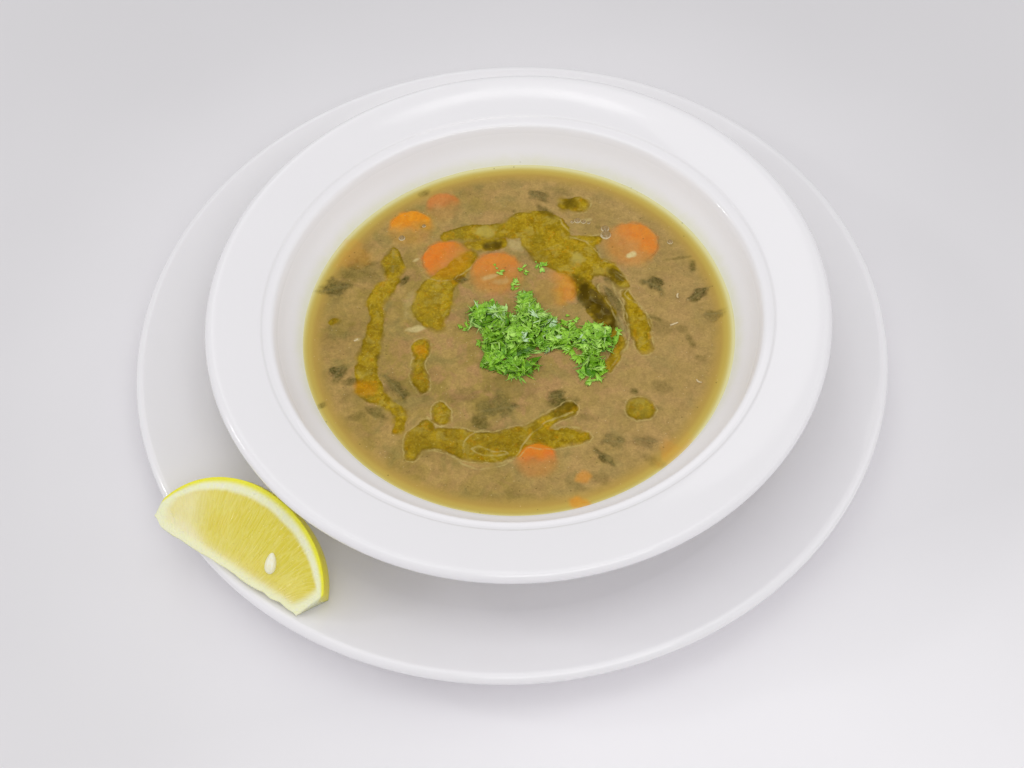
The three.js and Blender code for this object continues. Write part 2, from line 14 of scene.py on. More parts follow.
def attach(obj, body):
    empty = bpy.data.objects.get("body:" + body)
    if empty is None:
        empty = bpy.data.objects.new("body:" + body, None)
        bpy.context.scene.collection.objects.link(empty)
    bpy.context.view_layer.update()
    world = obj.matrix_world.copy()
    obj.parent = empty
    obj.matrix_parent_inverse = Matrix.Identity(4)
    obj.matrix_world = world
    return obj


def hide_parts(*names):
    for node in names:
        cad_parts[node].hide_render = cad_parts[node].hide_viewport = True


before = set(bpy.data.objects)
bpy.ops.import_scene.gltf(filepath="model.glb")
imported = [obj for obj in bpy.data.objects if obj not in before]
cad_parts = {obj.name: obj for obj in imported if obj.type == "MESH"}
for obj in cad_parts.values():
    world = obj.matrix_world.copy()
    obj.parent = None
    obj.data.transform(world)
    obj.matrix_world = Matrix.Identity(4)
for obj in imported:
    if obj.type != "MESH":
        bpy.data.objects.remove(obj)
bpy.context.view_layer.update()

MM = 0.001

# Underplate
PLATE_RADIUS = 149.7
PLATE_ROLL = 2.7
PLATE_ROLL_HEIGHT = 20
PLATE_SLOPE = 20.4
PLATE_WELL_TOP = 5.2
PLATE_WELL_RADIUS = 98
PLATE_BEND_RADIUS = 112
PLATE_FOOT_RADIUS = 83
PLATE_FOOT_WIDTH = 5
PLATE_FOOT_HEIGHT = 1.6
PLATE_THICKNESS = 4.6

# Bowl
BOWL_X = 3.5
BOWL_Y = -5.5
BOWL_RADIUS = 120
BOWL_ROLL = 2.75
BOWL_ROLL_HEIGHT = 49.4
BOWL_RIM_SLOPE = 11.4
BOWL_RIM_INNER_RADIUS = 98
BOWL_RIM_CROWN = 0.17
BOWL_EDGE_RADIUS = 99
BOWL_EDGE_DROP = 0.6
BOWL_LEDGE_RADIUS = 94.6
BOWL_LEDGE_HEIGHT = 46.9
BOWL_FOOT_RADIUS = 54
BOWL_FOOT_WIDTH = 4
BOWL_FOOT_HEIGHT = 3
BOWL_FOOT_BOTTOM = 5.5
BOWL_BASE_TOP = 12.5
BOWL_BASE_THICKNESS = 4.2
BOWL_WALL_THICKNESS = 5
BOWL_RIM_THICKNESS = 6.2
LATHE_SIDES = 288

# Soup
SOUP_LEVEL = 33
SOUP_RADIUS = 84.2
SOUP_GRID = 286
SOUP_TUCK = 0.9
MENISCUS_HEIGHT = 0.6
MENISCUS_WIDTH = 0.9
OIL_HEIGHT = 0.25

# Carrot slices
CARROT_THICKNESS = 3.4
CARROT_SIDES = 96
CARROT_RINGS = 22

# Chard leaves
LEAF_THICKNESS = 0.5
LEAF_LIFT = 0.3
LEAF_SIDES = 72
LEAF_RINGS = 22

# Parsley
SHRED_SEED = 11
LEAFLET_COUNT = 360
SPRIG_COUNT = 70
STRIP_COUNT = 260
SHRED_THICKNESS = 0.2

# Lemon wedge
LEMON_RADIUS = 32.9
LEMON_BLOSSOM_HALF = 36.5
LEMON_STEM_HALF = 40.7
LEMON_FULLNESS = 2.02
LEMON_BLOSSOM_TRIM = 35
LEMON_STEM_TRIM = 32.5
LEMON_TRIM_SLANT = 0.44
LEMON_WEDGE_ANGLE = 51
LEMON_PLACE = (-109, -100.4, 25.5)
LEMON_BEARING = -37.3
LEMON_PITCH = -3.6
LEMON_TILT = 30.4
PEEL_THICKNESS = 1.2
PITH_THICKNESS = 5.5
SEED_LENGTH = 7.8
SEED_WIDTH = 4.3
SEED_DEPTH = 3.4
SEED_ALONG = 14.5
SEED_OUT = 11.5
SEED_LIFT = 0.2
SEED_TURN = 112
LEMON_SLICES = 190
LEMON_FACE_STEPS = 96
LEMON_PEEL_STEPS = 44
SEED_RINGS = 20
SEED_SIDES = 26

# Camera, as the photograph was taken
CAMERA_FOCAL_PIXELS = 1618.6
PHOTO_WIDTH = 1024
CAMERA_ELEVATION = 55.89
CAMERA_DISTANCE = 661.27
CAMERA_TARGET = (-0.3, -9.4, 0)
CAMERA_ROLL = -3.585
SENSOR_WIDTH = 36

# Soft lights: name, place, width and height in metres, and watts
SOFTBOXES = [
    ("above", (0, 0, 1.5), 1.4, 0.7, 3.3),
    ("front", (0.2, -0.9, 1.35), 1.0, 0.6, 4.9),
    ("right", (1.6, -0.1, 0.9), 1.2, 0.9, 2.4),
    ("left", (-1.6, -0.1, 0.9), 1.2, 0.9, 2.4),
    ("behind", (-0.17, 1.05, 1.4), 0.3, 0.8, 0.8),
    ("back_lamp", (0.005, 0.66, 1.4), 0.13, 0.06, 0.06),
    ("side_lamp", (-1.3, 0.25, 0.85), 0.14, 0.14, 1.2),
]
ROOM_LIGHT = 0.52

# What a level surface of the food sends back: a share of its colour, and a little shine
LIGHT_ON_FOOD = 0.86
SHINE_ON_FOOD = 0.006

# Olive oil on the soup, as strokes of (x, y, half width)
OIL_STROKES = {
    "left_leaf": [(-45, 38, 1.2), (-45.5, 32, 4.4), (-45, 26, 4.2)],
    "left_top": [(-44, 22, 2), (-49, 18, 4), (-53, 11.5, 3.6), (-52, 3, 3.2), (-53.5, -6, 4),
                 (-56, -15, 4.4)],
    "left_low": [(-56, -15, 4.4), (-56, -24, 4.6), (-54.5, -31, 5), (-48, -36.5, 2.6),
                 (-44, -42, 2.6), (-44.5, -50, 2.2)],
    "carrot_side": [(-14.5, 32.5, 3.2), (-19, 26.5, 4.6), (-25.5, 19, 6), (-30.6, 7.6, 8), (-28, -2.5, 2.6)],
    "two_lobes": [(-34.5, -12, 3.8), (-36, -20.5, 2.2), (-35.3, -26, 3.4), (-34.7, -32, 1.8)],
    "small_drop": [(-28.2, -40, 2), (-28.2, -43.5, 3.8), (-27.5, -46.5, 2)],
    "crescent_tail": [(-39.5, -60.5, 2.8), (-37, -54, 4.6), (-33.5, -48.5, 3)],
    "crescent": [(-37, -54, 4.4), (-26, -55, 5), (-16, -58.5, 6.6), (-5, -59.5, 6.4),
                 (5, -54.5, 4), (13.5, -48.4, 2.8), (21, -44.4, 3)],
    "second_loop": [(4, -59.6, 1.5), (11, -57.6, 3.8), (19, -57.6, 4.3), (26.5, -57.6, 2)],
    "round_pool": [(46.7, -46.5, 4.9), (48.3, -46.5, 4.9)],
    "egg_pool": [(27.6, 56.2, 3.6), (31.6, 55.6, 4.4)],
    "arch_left": [(-23, 43, 2.4), (-16, 44.4, 4), (-7, 44.4, 3.6), (2, 45, 4.8), (9, 47, 6.2)],
    "arch_top": [(9, 47, 6.2), (16, 44, 9.6), (18, 36.5, 10), (23, 28, 7.6), (31, 20.5, 5.6)],
    "arch_under": [(-14, 38, 2.4), (-7, 37.6, 3.2), (-1.8, 37.6, 2.8)],
    "arch_fill": [(31, 34, 4.6), (34, 26, 4.6)],
    "arch_nub": [(24, 35, 5), (31, 35.5, 3.6), (37.5, 36, 2.6)],
    "arch_right": [(31, 26, 5), (36, 23, 5), (41, 20.5, 4), (46.5, 13, 2.4)],
    "right_arm": [(47, 9, 1.3), (48.3, 2, 2.6), (50.8, -7, 4), (51.6, -17, 3.6), (51.8, -20, 2.4)],
    "inner_arm": [(40.5, -9.5, 2.4), (43, -15, 2), (40, -21.5, 2.2), (36.5, -27.5, 1.8)],
    "dark_arm": [(29, 18, 3.6), (32, 10.7, 4.3), (35.3, 3.5, 5), (38.6, -4, 4.5), (40.2, -11, 3)],
    "dot": [(-69.8, 3, 1.5), (-69.2, 3, 1.5)],
}

# The pools of oil that a thin pale line of painted highlight runs round, on their meniscus
EDGED_POOLS = ("two_lobes", "small_drop", "crescent_tail", "crescent", "second_loop", "round_pool",
               "right_arm", "inner_arm")

# Edges of films of fat, as lines of (x, y), drawn as thin pale lines of painted highlight
FILM_LINES = {
    "crescent_inside": [(-20, -61.5), (-19.5, -57), (-17, -53.5), (-13, -52), (-9, -53)],
    "crescent_ripple": [(-17, -60), (-14, -59), (-11, -60.5), (-8, -62), (-5, -62), (-3.5, -63.5),
                        (-10, -63.5), (-14, -62.5), (-17, -60)],
    "crescent_under": [(-34.5, -59), (-28.5, -59.5), (-25, -62), (-19.5, -66.5), (-14, -69), (-6.5, -68),
                       (-1.5, -65.5), (1.5, -61), (5, -56), (10, -51.5), (17, -48), (22, -46.5)],
    "loop_outside": [(36.5, 13), (39, 15), (41.5, 14.5), (43.5, 8), (46, 0), (47, -7.5), (46.5, -14.5),
                     (45, -19)],
    "loop_inside": [(36.5, 13), (37.5, 8), (40.5, 2), (42.5, -4.5), (44.5, -12), (45, -17.5),
                    (42, -21.5), (38.5, -27), (34.5, -31)],
    "arm_outside": [(44.5, 19.5), (49, 14), (49, 11), (46.5, 7.5), (50.5, 3.5), (54, -1.5),
                    (55.5, -10.5), (56, -20)],
    "arch_above": [(23.5, 48.5), (26, 43), (30, 40), (36, 39), (39.5, 39.5)],
    "arch_inside": [(27, 39), (33, 35.5), (37.5, 30), (39, 26), (44, 23), (47.5, 17.5), (49, 12.5)],
    "egg_edge": [(35, 60), (37, 57), (35.5, 52), (31, 50.5)],
    "drop_edge": [(-33, -44), (-31.5, -47), (-28.5, -49), (-25, -48)],
    "slice_edge": [(-33.5, 24), (-28, 20.5), (-22, 20.6), (-17.5, 23), (-13.5, 27.5)],
}

# Leaves and shreds sunk in the soup: (x, y, length, width, bearing, darkness)
SUNK_LEAVES = [
    (-58, 27, 17, 11, 10, 0.45),
    (-40.5, 22, 6, 3, 50, 0.9),
    (-4, 37, 8, 5, 10, 0.9),
    (70, -16, 9, 3, -70, 0.6),
    (73, -25, 5, 3, -20, 0.5),
    (57, -37, 8, 6, 0, 0.4),
    (46, -38.5, 3, 2.4, 0, 0.7),
    (-62, -26, 7, 3, 0, 0.7),
    (-73.5, -36.5, 4, 3, 40, 0.6),
    (-53, -41, 9, 4, -30, 0.6),
    (-60, -42, 9, 4, 20, 0.45),
    (-13, -48, 6.5, 6.5, 0, 0.75),
    (19, -44, 11, 5, 35, 0.8),
    (27, -49, 6, 3, -20, 0.5),
    (26, 63, 10, 3, -20, 0.25),
    (18, 53, 9, 3.6, -45, 0.7),
    (28.8, 55.8, 6, 6, 0, 0.75),
    (-66, -3, 18, 15, 60, 0.2),
    (5, 54.5, 2.2, 2, 0, 0.6),
    (39, 43, 2.6, 2, 0, 0.5),
    (75, 20, 6.5, 3, 85, 0.7),
    (70, 24.5, 10, 1.6, 5, 0.5),
    (-32, 67, 5, 3, 20, 0.5),
    (43, 16, 9, 6, -40, 0.6),
    (-20, -36, 12, 7, 20, 0.35),
    (0, -34, 22, 10, -10, 0.3),
    (35.2, 2.8, 31, 10.5, -66, 1.05),
    (-12, -57.5, 52, 14, 2, 0.28),
    (-35, -30, 10, 14, 0, 0.3),
    (47.5, -46.5, 13, 13, 0, 0.2),
    (-55, -6, 14, 32, 0, 0.15),
    (16.8, -41.5, 8, 5, 0, 0.95),
    (30, -76, 8, 4, -20, 0.35),
    (66.5, -10.5, 6, 4, -30, 0.4),
    (75.6, 4.3, 7, 3, 32, 0.8),
    (-31, 11, 8, 8, 0, 0.2),
    (-36, -55, 10, 10, 0, 0.3),
    (-62, -33, 10, 8, 0, 0.3),
    (41.6, 5.6, 12, 4.4, -70, 0.8),
    (60, -9, 12, 7, -30, 0.35),
    (57, -4.5, 7, 2, -30, 0.6),
    (20, -78, 8, 4, -30, 0.3),
    (50, -70, 9, 4, -30, 0.3),
    (-2, -81, 7, 3, 0, 0.35),
    (-52, -15, 3, 2, 0, 0.6),
    (12, 30, 14, 10, 0, 0.25),
    (-34, -52, 8, 3, 30, 0.35),
    (-45.5, -30.5, 13, 8, -50, 0.4),
]

# Carrot under the soup: (x, y, radius, strength)
SUNK_CARROTS = [
    (24.1, -75.1, 2.6, 0.45),
    (21.8, -87, 3.6, 0.55),
    (-57.5, -29.5, 3.8, 0.5),
    (-35, -13, 2.6, 0.55),
    (-62, 36, 7, 0.2),
    (62, -70, 9, 0.25),
]

# Pale smears and lumps: (x, y, length, width, bearing, strength)
PALE_PATCHES = [
    (-7, 44.7, 8, 6, 0, 0.7),
    (4.8, 36, 5, 7, 20, 0.35),
    (29.1, 27.7, 5.4, 6, 20, 0.8),
    (-36.3, -2.8, 7.5, 2.6, 5, 0.7),
    (-38.5, 10, 6, 12, -10, 0.2),
    (-36, 32, 2.4, 1.2, 30, 0.7),
    (-60, -6, 2.4, 1.4, 0, 0.6),
    (50.9, 27.5, 3.7, 2.6, 20, 1.1),
    (-6, 21, 7, 2, 15, 0.4),
    (33, 47, 6, 1.6, 5, 0.45),
    (-2.5, 18, 6, 3, 0, 0.25),
    (43.5, -7, 9, 3, -75, 0.3),
    (47.9, -46.4, 8, 8, 0, 0.2),
    (28.1, 24.2, 5, 4, 20, 0.35),
]

# Bubbles on the soup: (x, y, radius)
BUBBLES = [
    (41.8, 38.7, 2.1),
    (41.7, 42, 1.6),
    (67.4, 33, 1.1),
    (30.8, 47.2, 1.3),
    (33.2, 46.4, 1.0),
    (28.6, 46.8, 0.8),
    (35.2, 45.8, 0.7),
    (-41.6, 43.8, 1.3),
    (-32.4, 49.5, 0.8),
]

# Pale husks afloat: (x, y, length, width, bearing)
HUSKS = [
    (67.6, 5.4, 2.2, 0.9, 80),
    (64.6, -8.2, 3.4, 0.8, 20),
    (71.2, -35.8, 2.4, 0.7, -40),
    (-60.4, -6.3, 1.8, 0.9, 30),
]

# Carrot slices: middle, radius, lean in degrees, bearing of the edge that stands up, lift,
# how orange the low edge and the high edge look through the broth, and how red the orange is
CARROTS = [
    (51.5, 33.3, 10.8, 4, 35, 0.35, 0.36, 0.86, 0.5),
    (-38, 48.6, 9, 8, 95, -0.25, 0.18, 0.95, 0.0),
    (-24.3, 59.2, 7.2, 5, 100, -0.1, 0.1, 0.56, 0.9),
    (-23.6, 31, 9.6, 5, 135, 0.25, 0.5, 1.0, 0.6),
    (-3.6, 22.6, 10.4, 6, 100, -0.05, 0.36, 0.76, 0.55),
    (19.3, 12.8, 8.8, 7, 10, -0.3, 0.08, 0.62, 0.0),
    (7.2, -66.6, 7.4, 7, 85, -0.1, 0.26, 1.0, 0.8),
]

# Chard leaves: middle, length, width, bearing of the length, sideways bow, corners, darkness
LEAVES = [
    (-69, 19.6, 13, 10, 10, 0.5, 4, 0.75),
    (-45.3, 32, 15, 9.4, 88, 0.4, 2, 0.06),
    (-18.5, 20.3, 6.8, 4.2, -4, 0, 4, 0.95),
    (42.2, -1, 32, 5.4, -76, 2.6, 2, 0.38),
    (34.6, 4, 21, 8.6, -62, 0.6, 4, 1.0),
    (44, 17.4, 9, 5, -50, 0.5, 2, 0.8),
    (58.4, 11.4, 10.4, 7, -35, 1, 3, 0.9),
    (75.8, 5.6, 11.4, 4.6, 32, 0.4, 4, 0.85),
    (80.4, -4.6, 9, 6.2, 0, -0.6, 3, 0.55),
    (36, -60.4, 9.6, 6.4, -10, 0.3, 4, 0.55),
    (48, -61, 10.4, 6, -12, -0.8, 3, 0.45),
    (32.4, -67.6, 11.4, 3.6, -46, 0.2, 4, 0.8),
    (-45.2, -30, 14.6, 5.8, -56, 0.4, 2, 0.78),
    (-67.6, -21.4, 8.4, 7, 60, 0, 3, 0.95),
    (-6.4, -43, 18, 11, 4, 1.2, 5, 0.7),
    (16.4, -38.2, 8, 4.8, 8, 0.2, 4, 0.95),
    (15.2, 61.6, 10.4, 6, -22, 0.4, 4, 0.8),
]

# Mounds of the parsley heap: middle, half sizes, height over the soup and how thickly it is strewn
MOUNDS = [
    (-9.4, 0.4, 8, 6, 4.6, 1.0),
    (8.6, -3.4, 7.2, 6.6, 7.4, 1.0),
    (7.6, 4.6, 3.4, 5.6, 4.4, 1.2),
    (1, -11, 12.4, 8.6, 6, 0.8),
    (-6.2, -18.6, 4.4, 6.4, 2.8, 0.7),
    (2.6, -24.6, 7.2, 5, 3.2, 0.8),
    (19, -11.6, 8, 7, 3.4, 0.65),
    (32.6, -13.8, 8, 7, 4.8, 1.0),
    (30.6, -25, 4.8, 8, 3, 0.8),
]

# Chopped parsley that lies loose on the soup: (x, y, how far it spreads, how many)
LOOSE_PARSLEY = [
    (-3, 24, 3, 5),
    (7, 22.5, 3, 8),
    (14, 25.5, 3, 9),
    (-17, -4, 3, 6),
    (3.8, 15.4, 2, 10),
    (6, 11.6, 2, 10),
    (24, -3, 3, 7),
    (42, -10, 2, 4),
    (26, -30, 3, 5),
]


# Numbers and curves


def linear(value):
    """A 0-255 screen value as light."""
    share = value / 255
    return share / 12.92 if share <= 0.04045 else ((share + 0.055) / 1.055) ** 2.4


def seen(red, green, blue):
    """The base colour that looks like the given 0-255 screen colour in this light."""
    light = [max(0.0, linear(value) - SHINE_ON_FOOD) / LIGHT_ON_FOOD for value in (red, green, blue)]
    return tuple(min(0.95, value) for value in light) + (1,)


def smoothstep(low, high, values):
    """0 below low, 1 above high and smooth between, also with low and high exchanged."""
    share = np.clip((values - low) / (high - low), 0, 1)
    return share * share * (3 - 2 * share)


def bumps(x, y, size, seed):
    """Smooth noise from -1 to 1 with bumps of the given size."""
    u, v = np.asarray(x) / size, np.asarray(y) / size
    column, row = np.floor(u), np.floor(v)
    across, along = u - column, v - row
    across = across * across * (3 - 2 * across)
    along = along * along * (3 - 2 * along)

    def corner(right, up):
        spread = np.sin((column + right) * 127.1 + (row + up) * 311.7 + seed * 74.7) * 43758.5453
        return 2 * (spread - np.floor(spread)) - 1

    low = corner(0, 0) * (1 - across) + corner(1, 0) * across
    high = corner(0, 1) * (1 - across) + corner(1, 1) * across
    return low * (1 - along) + high * along


def spline(points, steps_per_span):
    """A smooth curve through points of any number of coordinates."""
    points = np.asarray(points, float)
    padded = np.vstack([points[:1], points, points[-1:]])
    curve = []
    for k in range(len(points) - 1):
        before, start, end, after = padded[k:k + 4]
        for step in range(steps_per_span):
            t = step / steps_per_span
            leave, arrive = (end - before) / 2, (after - start) / 2
            curve.append((2 * t**3 - 3 * t**2 + 1) * start + (t**3 - 2 * t**2 + t) * leave
                         + (3 * t**2 - 2 * t**3) * end + (t**3 - t**2) * arrive)
    return np.array(curve + [points[-1]])


def bend_points(start, corner, end, steps):
    """Points on a bend from start to end, pulled towards a corner."""
    start, corner, end = (np.asarray(point, float) for point in (start, corner, end))
    shares = np.linspace(0, 1, steps + 1)[:, None]
    curve = (1 - shares)**2 * start + 2 * shares * (1 - shares) * corner + shares**2 * end
    return [tuple(point) for point in curve]


def rounded(points, steps=5):
    """A line of (radius, height, rounding) with its corners rounded."""
    line = []
    for k, (radius, height, rounding) in enumerate(points):
        if rounding == 0 or k in (0, len(points) - 1):
            line.append((radius, height))
            continue
        here = np.array([radius, height])
        before = np.array(points[k - 1][:2]) - here
        after = np.array(points[k + 1][:2]) - here
        back = here + before * min(rounding / np.hypot(*before), 0.49)
        ahead = here + after * min(rounding / np.hypot(*after), 0.49)
        line.extend(bend_points(back, here, ahead, steps))
    return line


def roll_points(outer_radius, height, roll, start, end, steps):
    """Points round a rolled edge, from one bearing in degrees to another."""
    angles = np.radians(np.linspace(start, end, steps + 1))
    return [(outer_radius - roll + roll * math.cos(a), height + roll * math.sin(a)) for a in angles]


# Meshes


def make_piece(name, points, faces, material, replaces=(), values=None):
    """A smooth mesh that rides on the body. Points are in millimetres, values are per point."""
    mesh = bpy.data.meshes.new(name)
    mesh.from_pydata((np.asarray(points, float) * MM).tolist(), [], [list(face) for face in faces])
    mesh.validate()
    mesh.polygons.foreach_set("use_smooth", [True] * len(mesh.polygons))
    for key, numbers in (values or {}).items():
        attribute = mesh.attributes.new(key, "FLOAT", "POINT")
        attribute.data.foreach_set("value", np.asarray(numbers, np.float32))
    mesh.materials.append(material)
    mesh.update()
    piece = bpy.data.objects.new(name, mesh)
    bpy.context.scene.collection.objects.link(piece)
    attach(piece, "root")
    if replaces:
        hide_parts(*replaces)
    return piece


def lathe(profile, sides, middle=(0, 0)):
    """Points and faces of a solid turned from a closed profile of (radius, height)."""
    profile = np.asarray(profile, float)
    angles = np.linspace(0, 2 * np.pi, sides, endpoint=False)
    rings = profile[1:-1]
    x = middle[0] + np.outer(rings[:, 0], np.cos(angles))
    y = middle[1] + np.outer(rings[:, 0], np.sin(angles))
    z = np.repeat(rings[:, 1:], sides, axis=1)
    points = np.stack([x, y, z], axis=-1).reshape(-1, 3)
    points = np.vstack([points, [[*middle, profile[0, 1]], [*middle, profile[-1, 1]]]])
    return points, closed_faces(len(rings), sides)


def grid_faces(rows, columns, closed=False):
    """Quads between rows of points, joined round when closed."""
    faces = []
    for row in range(rows - 1):
        for column in range(columns if closed else columns - 1):
            after = (column + 1) % columns
            faces.append((row * columns + column, row * columns + after,
                          (row + 1) * columns + after, (row + 1) * columns + column))
    return faces


def fan_faces(middle, ring):
    """Triangles from a middle point to a closed ring of points."""
    return [(middle, ring[k - 1], ring[k]) for k in range(len(ring))]


def band_faces(first, second):
    """Quads between two closed rings of points."""
    return [(first[k - 1], second[k - 1], second[k], first[k]) for k in range(len(first))]


def closed_faces(rings, sides):
    """Faces over closed rings of points and the two end points that follow them."""
    end, last_ring = rings * sides, (rings - 1) * sides
    return [
        *grid_faces(rings, sides, closed=True),
        *fan_faces(end, range(sides)[::-1]),
        *fan_faces(end + 1, range(last_ring, end)),
    ]


def turned_over(faces):
    """The same faces, seen from their other side."""
    return [tuple(reversed(face)) for face in faces]


class Heap:
    """Many small shapes gathered into one mesh."""

    def __init__(self):
        self.points = []
        self.faces = []
        self.values = {}
        self.count = 0

    def add(self, points, faces, **values):
        """Adds one shape, with a number or a row of numbers for each named value."""
        self.points.append(points)
        self.faces.extend(tuple(corner + self.count for corner in face) for face in faces)
        self.count += len(points)
        for key, value in values.items():
            row = np.full(len(points), value, float) if np.isscalar(value) else np.asarray(value)
            self.values.setdefault(key, []).append(row)

    def piece(self, name, material, slot, replaces=()):
        """The gathered shapes as one piece."""
        values = {key: np.concatenate(rows) for key, rows in self.values.items()}
        return make_piece(name, np.vstack(self.points), self.faces, material, replaces, values)


# Materials


class Value:
    """A number, vector or colour from a material's nodes. Sums and mixes on it add nodes."""

    def __init__(self, look, socket):
        self.look = look
        self.socket = socket

    def __add__(self, other):
        return self.look.math("ADD", self, other)

    def __sub__(self, other):
        return self.look.math("SUBTRACT", self, other)

    def __mul__(self, other):
        return self.look.math("MULTIPLY", self, other)

    def larger(self, other):
        """The larger of two numbers."""
        return self.look.math("MAXIMUM", self, other)

    def axis(self, name):
        """One part of this vector or colour."""
        return self.look.node("SeparateXYZ", {0: self}, name)

    def ease(self, low, high, start=0.0, end=1.0):
        """A smooth change from start to end as this number goes from low to high."""
        inputs = {"Value": self, "From Min": low, "From Max": high, "To Min": start, "To Max": end}
        return self.look.node("MapRange", inputs, interpolation_type="SMOOTHSTEP")

    def mix(self, first, second):
        """Two colours mixed, with this number as the second one's share."""
        return self.look.mix(self, first, second)

    def brightened(self, factor):
        """This colour made lighter or darker by a number."""
        return self.look.mix(1.0, self, self.look.vector(factor, factor, factor), "MULTIPLY")


class Look:
    """A procedural material, built by short calls that each return a value."""

    def __init__(self, name):
        self.material = bpy.data.materials.new(name)
        self.material.use_nodes = True
        self.tree = self.material.node_tree
        self.tree.nodes.clear()
        self.place = self.scaled(self.node("TexCoord", output="Object"), (1 / MM,) * 3)
        self.x, self.y, self.z = (self.place.axis(name) for name in "XYZ")

    def link(self, value, socket):
        """Connects a value, or sets a plain number or colour."""
        if isinstance(value, Value):
            self.tree.links.new(value.socket, socket)
        else:
            socket.default_value = value

    def node(self, kind, inputs=None, output=0, **settings):
        """A new node with its settings and inputs, and the value of one of its outputs."""
        node = self.tree.nodes.new("ShaderNode" + kind)
        for name, setting in settings.items():
            setattr(node, name, setting)
        for key, value in (inputs or {}).items():
            self.link(value, node.inputs[key])
        return Value(self, node.outputs[output])

    def math(self, operation, a, b=0.0):
        """One sum on two numbers."""
        return self.node("Math", {0: a, 1: b}, operation=operation)

    def length(self, x, y):
        """The length of a level step."""
        return self.math("SQRT", x * x + y * y)

    def mix(self, share, first, second, way="MIX"):
        """Two colours mixed."""
        return self.node("Mix", {0: share, 6: first, 7: second}, 2, data_type="RGBA", blend_type=way)

    def vector(self, x, y, z):
        """A vector from three numbers."""
        return self.node("CombineXYZ", {0: x, 1: y, 2: z})

    def scaled(self, vector, factors):
        """A vector with each part multiplied."""
        return self.node("VectorMath", {0: vector, 1: factors}, operation="MULTIPLY")

    def value(self, name):
        """A number stored on the mesh's points."""
        return self.node("Attribute", output="Fac", attribute_name=name)

    def noise(self, size, detail=2.0, rough=0.5, twist=0.0, vector=None):
        """Cloudy noise from 0 to 1 with lumps of a size in millimetres."""
        return self.node("TexNoise", {"Vector": vector or self.place, "Scale": 1 / size, "Detail": detail,
                                      "Roughness": rough, "Distortion": twist})

    def cells(self, size, vector=None):
        """Cell pattern: the distance from each cell's middle, and a random number for each cell."""
        distance = self.node("TexVoronoi", {"Vector": vector or self.place, "Scale": 1 / size}, "Distance")
        return distance, Value(self, distance.socket.node.outputs["Color"]).axis("X")

    def cell_edges(self, size, vector):
        """Cell pattern: the distance to the nearest edge between cells."""
        inputs = {"Vector": vector, "Scale": 1 / size}
        return self.node("TexVoronoi", inputs, "Distance", feature="DISTANCE_TO_EDGE")

    def bump(self, height, depth, strength, below=None):
        """A normal from a height pattern, its depth in millimetres, over another normal."""
        inputs = {"Strength": strength, "Distance": depth * MM, "Height": height}
        if below is not None:
            inputs["Normal"] = below
        return self.node("Bump", inputs)

    def finish(self, colour, roughness, normal, **settings):
        """The shader and its output. Settings are set on the shader's own sockets."""
        inputs = {"Base Color": colour, "Roughness": roughness, "Normal": normal}
        inputs.update({name.replace("_", " "): value for name, value in settings.items()})
        shader = self.node("BsdfPrincipled", inputs)
        output = self.tree.nodes.new("ShaderNodeOutputMaterial")
        self.link(shader, output.inputs[0])
        return self.material


def broth_colour(look):
    """The colour of the broth: grey-brown, pinker to the middle and right, pale at its edge."""
    across, along = look.x - BOWL_X, look.y - BOWL_Y
    radius = look.length(across, along)
    colour = look.noise(15, 3, 0.6, 0.4).ease(0.35, 0.65).mix(seen(148, 126, 65), seen(166, 138, 81))
    warm = look.noise(8, 3, 0.6, 0.8).ease(0.42, 0.66) * radius.ease(68, 30, 0.3, 0.8)
    colour = warm.mix(colour, seen(167, 129, 86))
    green = look.noise(11, 3, 0.6, 0.6, look.scaled(look.place, (1, -1, 1)))
    colour = green.ease(0.5, 0.7, 0, 0.75).mix(colour, seen(140, 124, 70))
    colour = across.ease(-50, 70, 0, 0.45).mix(colour, seen(171, 142, 92))
    colour = look.noise(1.9, 3, 0.7, 0.8).ease(0.58, 0.76, 0, 0.5).mix(colour, seen(120, 104, 56))
    colour = colour.brightened(look.noise(3.2, 4, 0.7, 0.3).ease(0.28, 0.72, 0.88, 1.11))
    colour = colour.brightened(look.noise(0.8, 3, 0.7).ease(0.3, 0.7, 0.91, 1.09))
    # The pale edge is wider on the side near the viewer
    radius = radius - (across * 0.5 + along).ease(20, -70, -0.4, 0.9)
    colour = (radius + look.noise(9, 2) * 2.4).ease(76, 82.4).mix(colour, seen(176, 146, 74))
    colour = radius.ease(79.5, 82).mix(colour, seen(187, 163, 82))
    colour = radius.ease(81.8, 83.6).mix(colour, seen(197, 181, 104))
    return radius.ease(83, 84.6).mix(colour, seen(213, 207, 154))


def specks(look, colour, size, stretch, width, chance, strength, tint):
    """A colour with small specks, in a share of the cells of a pattern."""
    distance, draw = look.cells(size, look.scaled(look.place, (1, stretch, 1)))
    chosen = draw.ease(1 - chance, 1.01 - chance, 0, strength)
    return (distance.ease(width, width / 2) * chosen).mix(colour, tint)


